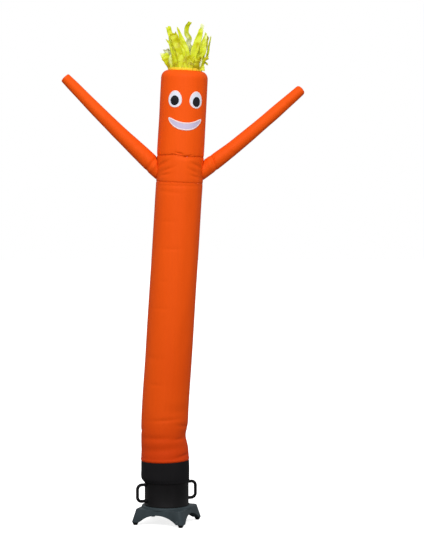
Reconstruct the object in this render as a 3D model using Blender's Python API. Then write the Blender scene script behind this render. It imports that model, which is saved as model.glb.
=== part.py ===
"""An inflatable air dancer: a cloth tube with arms, a face and ribbon hair, on the blower that fills it.

Metres, +Z up, the face towards -Y. Lengths across are measured from the blower's axis, and every piece
hangs from an empty that puts this axis beside the origin, so the origin is under the middle of the whole.
"""

import math

import bmesh
import bpy
from mathutils import Matrix, Vector

# Placing
BLOWER_X = -0.1130  # the blower's axis; the arms reach equally far from the origin
BLOWER_TURN = math.radians(24.5)  # the handles' line against +X
BLOWER_LIFT = 0.0033  # the feet reach this far below the level that the blower's heights are measured from
CLOTH_LIFT = 0.0100  # the same for the cloth's heights

# Cloth
CLOTH = 0.0015  # thickness of the sewn cloth
PATCH = 0.001  # thickness of the face's cut shapes
PATCH_LIFT = 0.0011  # from the head's round to a cut shape, whose flats dip a little
GAP = 0.0003  # air between neighbouring pieces
ROUND = 32  # facets round the body tube
ARM_ROUND = 20  # facets round an arm

# Heights of the seams, on the tube's centreline, less CLOTH_LIFT
HEM = 0.270
BAND_SEAM = 0.413  # black sleeve to orange body
UNDERARM_SEAM = 2.284
SHOULDER_SEAM = 2.458
CROWN_START = 2.975
CROWN_TOP = 3.027
VENT_RADIUS = 0.113

# Blower, with its heights less BLOWER_LIFT
BASE_TOP = 0.105
LEG_BOTTOM = 0.0167
SEAT_TOP = 0.117  # top of the raised ring that the drum stands on
DRUM_RADIUS = 0.1485
DRUM_TOP = 0.365
DRUM_WALL = 0.004
INTAKE_RADIUS = 0.125

# The centreline's height, its shift across, and the tube's radius there
TUBE_ROWS = [
    # height, shift, radius
    (0.232, -0.0015, 0.1535),
    (0.270, -0.0015, 0.1538),
    (0.298, -0.0090, 0.1622),
    (0.360, -0.0095, 0.1624),
    (0.413, -0.0106, 0.1618),
    (0.520, -0.0126, 0.1590),
    (0.654, -0.0128, 0.1585),
    (0.822, -0.0058, 0.1580),
    (1.090, 0.0128, 0.1578),
    (1.495, 0.0385, 0.1572),
    (1.900, 0.0644, 0.1568),
    (2.170, 0.0804, 0.1565),
    (2.300, 0.0886, 0.1568),
    (2.458, 0.0945, 0.1578),
    (2.700, 0.1082, 0.1566),
    (2.840, 0.1154, 0.1570),
    (2.975, 0.1225, 0.1562),
    (3.100, 0.1280, 0.1562),
]

LEAN_SPAN = 0.24  # a section's tilt is the centreline's over this height
LEVEL_SPAN = 0.13  # the hem lies level round the drum, and the tilt comes in over this height

# Soft folds in the tube: an inward push of this depth, spread this tall and this wide
TUBE_FOLDS = [
    # height, angle from the front (deg), depth, tall, wide (deg)
    (0.581, 84, 0.0160, 0.056, 46),
    (0.560, -20, 0.0040, 0.030, 60),
    (0.735, 35, 0.0035, 0.045, 40),
    (1.120, -60, 0.0025, 0.160, 24),
    (1.700, 50, 0.0020, 0.200, 20),
    (2.458, 5, 0.0040, 0.022, 50),
    (2.284, -10, 0.0025, 0.020, 70),
]

# Arms: points of the centreline, across and up, with the radius there
LEFT_ARM_ROWS = [
    # across, height, radius
    (0.0165, 2.3090, 0.0580),
    (-0.0672, 2.3816, 0.0592),
    (-0.1924, 2.5009, 0.0543),
    (-0.3356, 2.6382, 0.0475),
    (-0.4697, 2.7720, 0.0430),
    (-0.5974, 2.9030, 0.0383),
    (-0.6775, 2.9850, 0.0343),
]
RIGHT_ARM_ROWS = [
    (0.1560, 2.3045, 0.0550),
    (0.2534, 2.3701, 0.0550),
    (0.4228, 2.4955, 0.0482),
    (0.5894, 2.6317, 0.0440),
    (0.7440, 2.7645, 0.0408),
    (0.8235, 2.8341, 0.0384),
    (0.9090, 2.9095, 0.0354),
]

# The face's cut shapes: centre angle from the front (deg), centre height, half sizes along the cloth
EYES = [
    # name, angle, height, half width, half height
    ("left", -20.8, 2.832, 0.0470, 0.0560),
    ("right", 32.8, 2.832, 0.0480, 0.0560),
]
PUPILS = [
    ("left", -21.1, 2.823, 0.0300, 0.0320),
    ("right", 33.4, 2.820, 0.0290, 0.0325),
]
MOUTH_ANGLE = 8.0  # of its middle, from the front
MOUTH_HALF_SPREAD = 44.0  # degrees to a corner
MOUTH_CORNER = 2.703  # height of the corners
MOUTH_LOW = 2.654  # height of its middle line at the lowest
MOUTH_HALF_THICK = 0.0255

# Ribbons of the hair, side by side round the comb; facet 0 starts at +X and they run towards the back
COMB_FACETS = 48
RIBBONS = [
    # first facet, facets, length, width, lean at foot, lean at tip (deg from upright), swing (deg, + is +X)
    (1, 2, 0.232, 0.024, 14, 24, 0),
    (3, 2, 0.125, 0.030, 24, 90, 0),
    (5, 3, 0.270, 0.036, 4, 14, 0),
    (8, 3, 0.300, 0.036, 4, 22, 4),
    (11, 3, 0.262, 0.040, 5, 12, -3),
    (14, 3, 0.285, 0.038, 4, 20, -4),
    (17, 2, 0.225, 0.032, 10, 30, -2),
    (19, 3, 0.235, 0.030, 6, 14, 0),
    (22, 4, 0.150, 0.050, 18, 34, 0),
    (27, 3, 0.215, 0.038, 14, 24, -3),
    (30, 3, 0.305, 0.042, 2, 8, -6),
    (33, 3, 0.180, 0.040, 16, 44, -4),
    (36, 2, 0.296, 0.030, 3, 8, -11),
    (38, 2, 0.325, 0.030, 3, 4, -1),
    (41, 3, 0.318, 0.040, 2, 6, 4),
    (44, 2, 0.128, 0.032, 14, 66, 3),
    (46, 2, 0.250, 0.030, 8, 12, 0),
]
RIBBON_STEPS = 5
COMB_LOW = 3.029
COMB_HIGH = 3.047  # just above the header band
HEADER_TALL = 0.018


def smooth_row(rows, at):
    """Every column of a table at a value of its first column, on a smooth curve through the rows."""
    last = len(rows) - 1
    i = max(k for k in range(last) if k == 0 or rows[k][0] <= at)
    low, high = rows[i], rows[i + 1]
    span = high[0] - low[0]
    t = (at - low[0]) / span

    def slope(k, column):
        a, b = rows[max(k - 1, 0)], rows[min(k + 1, last)]
        return (b[column] - a[column]) / (b[0] - a[0])

    found = []
    for column in range(1, len(low)):
        start, end = low[column], high[column]
        leave, arrive = slope(i, column) * span, slope(i + 1, column) * span
        found.append(
            (2 * t**3 - 3 * t**2 + 1) * start
            + (t**3 - 2 * t**2 + t) * leave
            + (3 * t**2 - 2 * t**3) * end
            + (t**3 - t**2) * arrive
        )
    return found


def tube_place(height):
    """The frame of a section of the tube: its centre, with Z along the leaning centreline."""
    shift = smooth_row(TUBE_ROWS, height)[0]
    low = max(height - LEAN_SPAN / 2, TUBE_ROWS[0][0])
    high = min(height + LEAN_SPAN / 2, TUBE_ROWS[-1][0])
    lean = math.atan2(smooth_row(TUBE_ROWS, high)[0] - smooth_row(TUBE_ROWS, low)[0], high - low)
    lean *= min((height - HEM) / LEVEL_SPAN, 1)
    return Matrix.Translation((shift, 0, height)) @ Matrix.Rotation(lean, 4, "Y")


def crown_radius(height):
    """The tube's radius, drawn in over the crown as a quarter ellipse."""
    radius = smooth_row(TUBE_ROWS, height)[1]
    if height <= CROWN_START:
        return radius
    rise = min((height - CROWN_START) / (CROWN_TOP - CROWN_START), 1)
    return VENT_RADIUS + (radius - VENT_RADIUS) * math.sqrt(1 - rise**2)


def fold_push(angle, height):
    """How far the folds push the cloth inwards at an angle from the front."""
    push = 0
    for fold_height, fold_angle, depth, tall, wide in TUBE_FOLDS:
        turn = (math.degrees(angle) - fold_angle + 180) % 360 - 180
        push += depth * math.exp(-(((height - fold_height) / tall) ** 2) - (turn / wide) ** 2)
    return push


def on_tube(angle, height, lift=0):
    """A point on the tube's outer face, or lift above it; the angle runs from the front towards +X."""
    reach = crown_radius(height) - fold_push(angle, height) + lift
    return tube_place(height) @ Vector((reach * math.sin(angle), -reach * math.cos(angle), 0))


def material(name, colour, roughness, metallic=0.0):
    made = bpy.data.materials.new(name)
    made.use_nodes = True
    shader = made.node_tree.nodes["Principled BSDF"]
    shader.inputs["Base Color"].default_value = (*colour, 1)
    shader.inputs["Roughness"].default_value = roughness
    shader.inputs["Metallic"].default_value = metallic
    return made


def add_object(name, bm, parent, finish=None, smooth=True):
    """Makes an object of a bmesh; one with no finish is a cutter or a helper, and isn't rendered."""
    bmesh.ops.recalc_face_normals(bm, faces=bm.faces)
    if bm.calc_volume(signed=True) < 0:  # an open skin can come out with its faces turned inwards
        bmesh.ops.reverse_faces(bm, faces=bm.faces)
    mesh = bpy.data.meshes.new(name)
    bm.to_mesh(mesh)
    bm.free()
    obj = bpy.data.objects.new(name, mesh)
    bpy.context.scene.collection.objects.link(obj)
    obj.parent = parent
    if finish is None:
        obj.hide_render = True
        obj.display_type = "WIRE"
        return obj
    mesh.materials.append(finish)
    if smooth:
        mesh.shade_smooth()
        mesh.set_sharp_from_angle(angle=math.radians(35))
    return obj


def solidify(obj, thickness, offset=-1):
    wall = obj.modifiers.new("wall", "SOLIDIFY")
    wall.thickness = thickness
    wall.offset = offset
    wall.use_even_offset = True


def boolean(obj, other, operation="DIFFERENCE"):
    cut = obj.modifiers.new(other.name, "BOOLEAN")
    cut.operation = operation
    cut.object = other
    cut.solver = "EXACT"


def ring_edges(verts):
    inside = set(verts)
    return [edge for edge in {e for v in verts for e in v.link_edges} if set(edge.verts) <= inside]


def lofted(places, segments):
    """A bmesh skin through circles, with its list of rings; places is a list of (matrix, radius)."""
    bm = bmesh.new()
    rings = []
    for place, radius in places:
        made = bmesh.ops.create_circle(bm, segments=segments, radius=radius, matrix=place)
        rings.append(made["verts"])
    loops = [ring_edges(ring) for ring in rings]
    for low, high in zip(loops, loops[1:]):
        bmesh.ops.bridge_loops(bm, edges=low + high)
    return bm, rings


def cap(bm, ring):
    return bmesh.ops.contextual_create(bm, geom=ring_edges(ring))["faces"]


def turned(profile, segments):
    """A closed bmesh turned about Z from a closed outline of (radius, height) points."""
    bm = bmesh.new()
    verts = [bm.verts.new((radius, 0, height)) for radius, height in profile]
    edges = [bm.edges.new(pair) for pair in zip(verts, verts[1:] + verts[:1])]
    bmesh.ops.spin(
        bm, geom=verts + edges, cent=(0, 0, 0), axis=(0, 0, 1), angle=math.tau, steps=segments,
        use_merge=True, use_duplicate=False,
    )
    bmesh.ops.remove_doubles(bm, verts=bm.verts, dist=1e-6)
    return bm


def spread_heights(low, high, step):
    count = max(2, round((high - low) / step) + 1)
    return [low + (high - low) * k / (count - 1) for k in range(count)]


def add_tube(name, heights, parent, finish):
    """A stretch of the body tube as a cloth wall, open at both ends, with the folds pushed in."""
    bm, rings = lofted([(tube_place(h), crown_radius(h)) for h in heights], ROUND)
    for ring, height in zip(rings, heights):
        for k, vert in enumerate(ring):
            vert.co = on_tube(math.tau * k / ROUND, height)
    tube = add_object(name, bm, parent, finish)
    solidify(tube, CLOTH)
    return tube


def arm_places(rows, shrink=0.0):
    """Frames along an arm's centreline, which lies in the XZ plane."""
    places = []
    for k, (across, height, radius) in enumerate(rows):
        before, after = rows[max(k - 1, 0)], rows[min(k + 1, len(rows) - 1)]
        lean = math.atan2(after[0] - before[0], after[1] - before[1])
        place = Matrix.Translation((across, 0, height)) @ Matrix.Rotation(lean, 4, "Y")
        places.append((place, radius - shrink))
    return places


def add_arm(name, rows, tip_round, chest_form, parent, finish):
    """A tapered cloth sleeve, closed at its tip and trimmed to the chest's curve at its root."""
    bm, rings = lofted(arm_places(rows), ARM_ROUND)
    tip = cap(bm, rings[-1])
    rim = [edge for edge in tip[0].edges]
    bmesh.ops.bevel(
        bm, geom=rim, offset=tip_round, segments=2, profile=0.5, affect="EDGES", material=-1
    )
    arm = add_object(name, bm, parent, finish)
    solidify(arm, CLOTH)
    boolean(arm, chest_form)
    return arm


def add_form(name, places, segments, parent):
    """A solid loft that cuts others."""
    bm, rings = lofted(places, segments)
    cap(bm, rings[0])
    cap(bm, rings[-1])
    return add_object(name, bm, parent)


def add_patch(name, across, up, place_of, lift, parent, finish):
    """A cut shape lying on the head: a unit grid whose points place_of turns into angle and height."""
    bm = bmesh.new()
    bmesh.ops.create_grid(bm, x_segments=across, y_segments=up, size=1)
    for vert in bm.verts:
        angle, height = place_of(vert.co.x, vert.co.y)
        vert.co = on_tube(angle, height, lift)
    patch = add_object(name, bm, parent, finish)
    outward = patch.data.polygons[0].normal.y < 0
    if not outward:
        patch.data.flip_normals()
    solidify(patch, PATCH, offset=1)
    return patch


def oval_place(angle, height, half_width, half_height):
    """Turns the unit square into an oval that is fuller below than above, as a cut eye is."""
    radius = crown_radius(height)

    def place(u, v):
        x = u * math.sqrt(1 - v * v / 2)
        y = v * math.sqrt(1 - u * u / 2)
        return math.radians(angle) + x * half_width / radius, height + y * half_height

    return place


def smile_place(u, v):
    """Turns the unit square into a crescent with round corners."""
    angle = math.radians(MOUTH_ANGLE + u * MOUTH_HALF_SPREAD)
    middle = MOUTH_LOW + (MOUTH_CORNER - MOUTH_LOW) * abs(u) ** 2.1
    half = MOUTH_HALF_THICK * max(1 - abs(u) ** 4.2, 0.02) ** 0.5
    return angle, middle + v * half


def grow_ribbon(rail, facets, middle_radius, length, width, lean_foot, lean_tip, swing):
    """Extrudes one ribbon, step by step, from the top faces of the rail's facets."""
    pitch = math.tau / COMB_FACETS
    turn = (facets[0] + len(facets) / 2) * pitch
    outward = Vector((math.cos(turn), math.sin(turn), 0))
    side = Vector((-outward.y, outward.x, 0))
    top = COMB_HIGH - COMB_LOW

    def turn_from_middle(spot):
        return (math.atan2(spot.y, spot.x) - turn + math.pi) % math.tau - math.pi

    strip = []
    for face in rail.faces:
        middle = face.calc_center_median()
        if abs(middle.z - top) < 1e-5 and abs(turn_from_middle(middle)) < pitch * len(facets) / 2:
            strip.append(face)
    # where each foot vertex is across the ribbon, from -0.5 to 0.5, and whether it is on the outer skin
    spots = {
        vert: (turn_from_middle(vert.co) / (pitch * len(facets)), vert.co.xy.length > middle_radius)
        for vert in {v for face in strip for v in face.verts}
    }
    point = outward * middle_radius + Vector((0, 0, top))
    for k in range(RIBBON_STEPS):
        lean = math.radians(lean_foot + (lean_tip - lean_foot) * (k + 0.5) / RIBBON_STEPS)
        heading = outward * math.sin(lean) + Vector((0, 0, math.cos(lean)))
        heading = Matrix.Rotation(math.radians(swing), 3, "Y") @ heading
        point = point + heading * length / RIBBON_STEPS
        taper = 1 - 0.35 * ((k + 1) / RIBBON_STEPS) ** 3
        across = (side - heading * side.dot(heading)).normalized()
        thick = across.cross(heading).normalized()
        by_place = {vert.co.copy().freeze(): spot for vert, spot in spots.items()}
        grown = bmesh.ops.extrude_face_region(rail, geom=strip)["geom"]
        left_behind = [face for face in strip if face.is_valid]
        bmesh.ops.delete(rail, geom=left_behind, context="FACES_KEEP_BOUNDARY")
        strip = [item for item in grown if isinstance(item, bmesh.types.BMFace)]
        spots = {vert: by_place[vert.co.copy().freeze()] for face in strip for vert in face.verts}
        for vert, (share, is_outer) in spots.items():
            lift = CLOTH / 2 if is_outer else -CLOTH / 2
            vert.co = point + across * share * width * taper + thick * lift


def build_cloth(root):
    orange = material("orange_cloth", (0.79, 0.085, 0.007), 0.55)
    black = material("black_cloth", (0.013, 0.012, 0.013), 0.7)
    gold = material("gold_cloth", (0.885, 0.579, 0.025), 0.5)
    lime = material("lime_ribbon", (0.625, 0.678, 0.004), 0.4)
    white = material("white_cloth", (0.772, 0.677, 0.763), 0.6)
    pupil = material("pupil_cloth", (0.02, 0.02, 0.024), 0.5)

    half = GAP / 2
    add_tube("sleeve", [HEM, 0.284, 0.300, 0.350, BAND_SEAM - half], root, black)
    body_heights = [BAND_SEAM + half, 0.47, 0.52, 0.55, 0.58, 0.61, 0.65, 0.72, 0.92]
    body_heights += spread_heights(1.12, 2.12, 0.20) + [2.23, UNDERARM_SEAM - half]
    add_tube("body_panel", body_heights, root, orange)

    chest = add_tube(
        "chest_panel", spread_heights(UNDERARM_SEAM + half, SHOULDER_SEAM - half, 0.04), root, orange
    )
    form_heights = spread_heights(2.20, 2.62, 0.06)
    skin = 0.0006
    chest_form = add_form(
        "chest_form", [(tube_place(h), crown_radius(h) + skin) for h in form_heights], ROUND * 2, root
    )
    for side, rows, tip_round in (("left", LEFT_ARM_ROWS, 0.006), ("right", RIGHT_ARM_ROWS, 0.015)):
        add_arm(f"arm_{side}", rows, tip_round, chest_form, root, orange)
        bore = add_form(f"armhole_{side}", arm_places(rows[:3], shrink=0.003), ARM_ROUND, root)
        boolean(chest, bore)

    crown = [CROWN_START + (CROWN_TOP - CROWN_START) * math.sin(math.radians(a)) for a in (30, 55, 75, 90)]
    head_heights = [SHOULDER_SEAM + half, 2.485] + spread_heights(2.56, CROWN_START, 0.106) + crown
    add_tube("head_panel", head_heights, root, orange)

    for side, angle, height, wide, tall in EYES:
        place = oval_place(angle, height, wide, tall)
        add_patch(f"eye_{side}", 8, 8, place, PATCH_LIFT, root, white)
    for side, angle, height, wide, tall in PUPILS:
        place = oval_place(angle, height, wide, tall)
        add_patch(f"pupil_{side}", 6, 6, place, 2 * PATCH_LIFT + PATCH, root, pupil)
    add_patch("mouth", 28, 4, smile_place, PATCH_LIFT, root, white)

    build_hair(root, gold, lime)


def build_hair(root, gold, lime):
    """The header band on the crown's edge, and the comb of ribbons inside it."""
    top = tube_place(CROWN_TOP)
    outer = VENT_RADIUS + 0.0005
    inner = outer - CLOTH
    low, high = GAP, HEADER_TALL
    band = turned([(outer, high), (outer, low), (inner, low), (inner, high)], COMB_FACETS)
    bmesh.ops.transform(band, matrix=top, verts=band.verts)
    add_object("hair_header", band, root, gold)

    outer = inner - GAP
    inner = outer - CLOTH
    comb_height = COMB_HIGH - COMB_LOW
    rail = turned([(outer, comb_height), (outer, 0), (inner, 0), (inner, comb_height)], COMB_FACETS)
    for first, count, length, width, lean_foot, lean_tip, swing in RIBBONS:
        facets = range(first, first + count)
        grow_ribbon(rail, facets, (outer + inner) / 2, length, width, lean_foot, lean_tip, swing)
    foot = top @ Matrix.Translation((0, 0, COMB_LOW - CROWN_TOP))
    bmesh.ops.transform(rail, matrix=foot, verts=rail.verts)
    add_object("hair_comb", rail, root, lime)


def build_base(plinth, plastic, rubber):
    """The plinth: a flared block with round corners, four arches, a hollow underneath and a raised seat."""
    bottom_half, top_half = 0.1860, 0.1631
    corner_round, edge_round = 0.024, 0.006
    arch_radius, arch_apex, arch_facets = 0.207, 0.068, 72
    hollow_radius, hollow_top = 0.147, 0.095

    bm = bmesh.new()
    made = bmesh.ops.create_cube(bm, size=2)
    for vert in made["verts"]:
        is_top = vert.co.z > 0
        half = top_half if is_top else bottom_half
        vert.co = Vector((vert.co.x * half, vert.co.y * half, BASE_TOP if is_top else LEG_BOTTOM))
    upright = [e for e in bm.edges if abs(e.verts[0].co.z - e.verts[1].co.z) > 0.01]
    bmesh.ops.bevel(
        bm, geom=upright, offset=corner_round, segments=4, profile=0.5, affect="EDGES", material=-1
    )
    rim = [e for e in bm.edges if min(v.co.z for v in e.verts) > BASE_TOP - 1e-5]
    bmesh.ops.bevel(
        bm, geom=rim, offset=edge_round, segments=2, profile=0.5, affect="EDGES", material=-1
    )
    base = add_object("base", bm, plinth, plastic)

    seat_in, seat_out, seat_foot, seat_bevel = 0.140, 0.168, 0.099, 0.004
    seat_profile = [
        (seat_out - seat_bevel, SEAT_TOP), (seat_out, SEAT_TOP - seat_bevel), (seat_out, seat_foot),
        (seat_in, seat_foot), (seat_in, SEAT_TOP),
    ]
    boolean(base, add_object("seat_form", turned(seat_profile, 48), plinth), "UNION")
    for name, radius, low, high in (
        ("hollow_form", hollow_radius, -0.05, hollow_top),
        ("intake_form", INTAKE_RADIUS, hollow_top - 0.02, SEAT_TOP + 0.02),
    ):
        bore = bmesh.new()
        bmesh.ops.create_cone(
            bore, cap_ends=True, segments=48, radius1=radius, radius2=radius, depth=high - low,
            matrix=Matrix.Translation((0, 0, (low + high) / 2)) @ Matrix.Rotation(math.radians(2), 4, "Z"),
        )
        boolean(base, add_object(name, bore, plinth))
    for name, turn in (("arch_form_x", 0), ("arch_form_y", math.pi / 2)):
        arch = bmesh.new()
        lie = Matrix.Rotation(turn, 4, "Z") @ Matrix.Rotation(math.pi / 2, 4, "X")
        lie = lie @ Matrix.Rotation(math.pi / arch_facets, 4, "Z")  # a flat, not an edge, at the apex
        bmesh.ops.create_cone(
            arch, cap_ends=True, segments=arch_facets, radius1=arch_radius, radius2=arch_radius, depth=0.5,
            matrix=Matrix.Translation((0, 0, arch_apex - arch_radius)) @ lie,
        )
        boolean(base, add_object(name, arch, plinth))

    foot_middle, foot_top_radius, foot_bottom_radius = 0.1620, 0.0225, 0.0125
    foot_top = LEG_BOTTOM - GAP
    for name, right, back in (
        ("foot_front", -1, -1), ("foot_right", 1, -1), ("foot_left", -1, 1), ("foot_back", 1, 1),
    ):
        bm = bmesh.new()
        bmesh.ops.create_cone(
            bm, cap_ends=True, segments=20, radius1=foot_bottom_radius, radius2=foot_top_radius,
            depth=foot_top + BLOWER_LIFT, matrix=Matrix.Translation((0, 0, (foot_top - BLOWER_LIFT) / 2)),
        )
        foot = add_object(name, bm, plinth, rubber)
        foot.location = (right * foot_middle, back * foot_middle, 0)


def build_drum(blower, plastic):
    """The round housing: a wall with a rolled rim, a bead below it and a foot ring."""
    wall_in = DRUM_RADIUS - DRUM_WALL
    rim_out = 0.1500
    bead_height, bead_half = 0.312, 0.005
    profile = [
        (rim_out - 0.002, DRUM_TOP), (rim_out, DRUM_TOP - 0.003), (rim_out, DRUM_TOP - 0.011),
        (DRUM_RADIUS, DRUM_TOP - 0.014), (DRUM_RADIUS, bead_height + bead_half), (rim_out, bead_height),
        (DRUM_RADIUS, bead_height - bead_half), (DRUM_RADIUS, SEAT_TOP + 0.008),
        (DRUM_RADIUS + 0.002, SEAT_TOP + 0.006), (DRUM_RADIUS + 0.002, SEAT_TOP + GAP),
        (wall_in, SEAT_TOP + GAP), (wall_in, DRUM_TOP - 0.008), (wall_in - 0.004, DRUM_TOP - 0.008),
        (wall_in - 0.004, DRUM_TOP),
    ]
    add_object("drum", turned(profile, 40), blower, plastic)


def build_grille(blower, steel):
    """The outlet guard: a hub, six spokes and concentric rings, lying in the drum's mouth."""
    low, high = DRUM_TOP - 0.007, DRUM_TOP - 0.0035
    outer = DRUM_RADIUS - DRUM_WALL - 0.0045
    ring_count, ring_thick = 5, 0.0035
    hub = turned([(0.026, high), (0.026, low), (0.006, low), (0.006, high)], 16)
    grille = add_object("outlet_grille", hub, blower, steel)
    pitch = (outer - 0.026) / ring_count
    for k in range(ring_count):
        radius = outer - k * pitch
        inner = radius - ring_thick
        ring = turned([(radius, high), (radius, low), (inner, low), (inner, high)], 24)
        boolean(grille, add_object(f"grille_ring_{k + 1}", ring, blower), "UNION")
    for k in range(3):
        bar = bmesh.new()
        turn = Matrix.Rotation(math.radians(60 * k + 12), 4, "Z")
        size = Matrix.Diagonal((2 * outer - 0.004, 0.005, 0.0025, 1))
        middle = Matrix.Translation((0, 0, (low + high) / 2))
        bmesh.ops.create_cube(bar, size=1, matrix=turn @ middle @ size)
        boolean(grille, add_object(f"grille_bar_{k + 1}", bar, blower), "UNION")


def build_handles(blower, plastic):
    """Two carrying handles: round bars that leave the drum, turn down and come back."""
    bar, top, bottom, reach, bend = 0.0105, 0.2625, 0.1515, 0.2140, 0.030
    start = DRUM_RADIUS + 0.002 + GAP
    for name, side in (("handle_left", -1), ("handle_right", 1)):
        points = [(start, top, 1.25), (start + 0.012, top, 1.0)]
        for k in range(7):
            turn = math.radians(15 * k)
            points.append((reach - bend + bend * math.sin(turn), top - bend + bend * math.cos(turn), 1.0))
        points += [(across, top + bottom - height, swell) for across, height, swell in reversed(points)]
        curve = bpy.data.curves.new(name, "CURVE")
        curve.dimensions = "3D"
        curve.bevel_depth = bar
        curve.bevel_resolution = 2
        curve.use_fill_caps = True
        spline = curve.splines.new("POLY")
        spline.points.add(len(points) - 1)
        for spot, (across, height, swell) in zip(spline.points, points):
            spot.co = (side * across, 0, height, 1)
            spot.radius = swell
        curve.materials.append(plastic)
        handle = bpy.data.objects.new(name, curve)
        bpy.context.scene.collection.objects.link(handle)
        handle.parent = blower


def build_gland(blower, rubber):
    """The cord's gland, low on the back of the drum."""
    height, length = 0.165, 0.016
    profile = [(0.0045, 0), (0.011, 0), (0.011, 0.005), (0.008, 0.006), (0.0065, length), (0.0045, length)]
    gland = add_object("cord_gland", turned(profile, 16), blower, rubber)
    gland.location = (0, DRUM_RADIUS + GAP, height)
    gland.rotation_euler = (-math.pi / 2, 0, 0)


def main():
    for old in list(bpy.data.objects):
        bpy.data.objects.remove(old, do_unlink=True)
    root = bpy.data.objects.new("dancer_root", None)
    root.location = (BLOWER_X, 0, 0)
    blower = bpy.data.objects.new("blower_root", None)
    blower.parent = root
    blower.location = (0, 0, BLOWER_LIFT)
    blower.rotation_euler = (0, 0, BLOWER_TURN)
    plinth = bpy.data.objects.new("plinth_root", None)
    plinth.parent = blower
    plinth.rotation_euler = (0, 0, math.pi / 4)  # its corners lie in line with the handles
    cloth = bpy.data.objects.new("cloth_root", None)
    cloth.parent = root
    cloth.location = (0, 0, CLOTH_LIFT)
    for empty in (root, blower, plinth, cloth):
        bpy.context.scene.collection.objects.link(empty)

    build_cloth(cloth)
    plastic = material("base_plastic", (0.045, 0.052, 0.058), 0.5)
    drum_plastic = material("drum_plastic", (0.010, 0.010, 0.010), 0.45)
    rubber = material("rubber", (0.006, 0.006, 0.007), 0.8)
    steel = material("black_wire", (0.02, 0.02, 0.02), 0.4, 0.6)
    build_base(plinth, plastic, rubber)
    build_drum(blower, drum_plastic)
    build_grille(blower, steel)
    build_handles(blower, drum_plastic)
    build_gland(blower, rubber)


main()
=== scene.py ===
import math

import bmesh
import bpy
from mathutils import Matrix, Vector, noise


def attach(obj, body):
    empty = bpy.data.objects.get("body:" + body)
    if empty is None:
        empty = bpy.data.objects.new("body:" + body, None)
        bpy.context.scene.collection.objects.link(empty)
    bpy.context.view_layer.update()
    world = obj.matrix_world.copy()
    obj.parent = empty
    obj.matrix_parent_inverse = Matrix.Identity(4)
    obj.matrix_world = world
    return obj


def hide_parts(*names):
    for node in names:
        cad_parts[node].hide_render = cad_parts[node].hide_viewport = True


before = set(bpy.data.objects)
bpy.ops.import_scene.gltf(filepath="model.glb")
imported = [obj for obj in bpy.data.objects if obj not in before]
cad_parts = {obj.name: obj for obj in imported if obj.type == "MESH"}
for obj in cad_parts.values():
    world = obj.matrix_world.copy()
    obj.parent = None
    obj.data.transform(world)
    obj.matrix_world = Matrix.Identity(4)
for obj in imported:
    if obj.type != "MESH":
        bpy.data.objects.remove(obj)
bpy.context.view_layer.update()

scene = bpy.context.scene

# Camera and studio

cameraSetting = {
    "spot": (0.0, -12.2, 2.31),
    "target": (0.1935, 0.0, 1.716),
    "lens": 121.9,  # mm, on the long side of a 36 mm frame
}
studio = {
    "backdrop": (1.0, 1.0, 1.0),
    "roomAbove": 0.72,  # strength of the even light from overhead, from the sides and from below
    "roomLevel": 0.47,
    "roomBelow": 0.16,
    "floorColour": (0.80, 0.80, 0.80),
    "floorGlow": 0.80,  # the floor is lit from below, and is seen as white
    "floorShade": (0.28, 0.28, 0.28),  # what it throws back on the figure
    "lamps": {
        # name: (spot, aimed at, width, height, watts)
        "keyLamp": ((-0.1, -5.2, 5.5), (0.0, 0.0, 1.50), 6.4, 1.3, 318.0),
    },
}


def link(tree, source, target):
    tree.links.new(source, target)


def aimed(spot, target):
    turn = (Vector(target) - Vector(spot)).to_track_quat("-Z", "Y")
    return Matrix.Translation(spot) @ turn.to_matrix().to_4x4()


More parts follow.
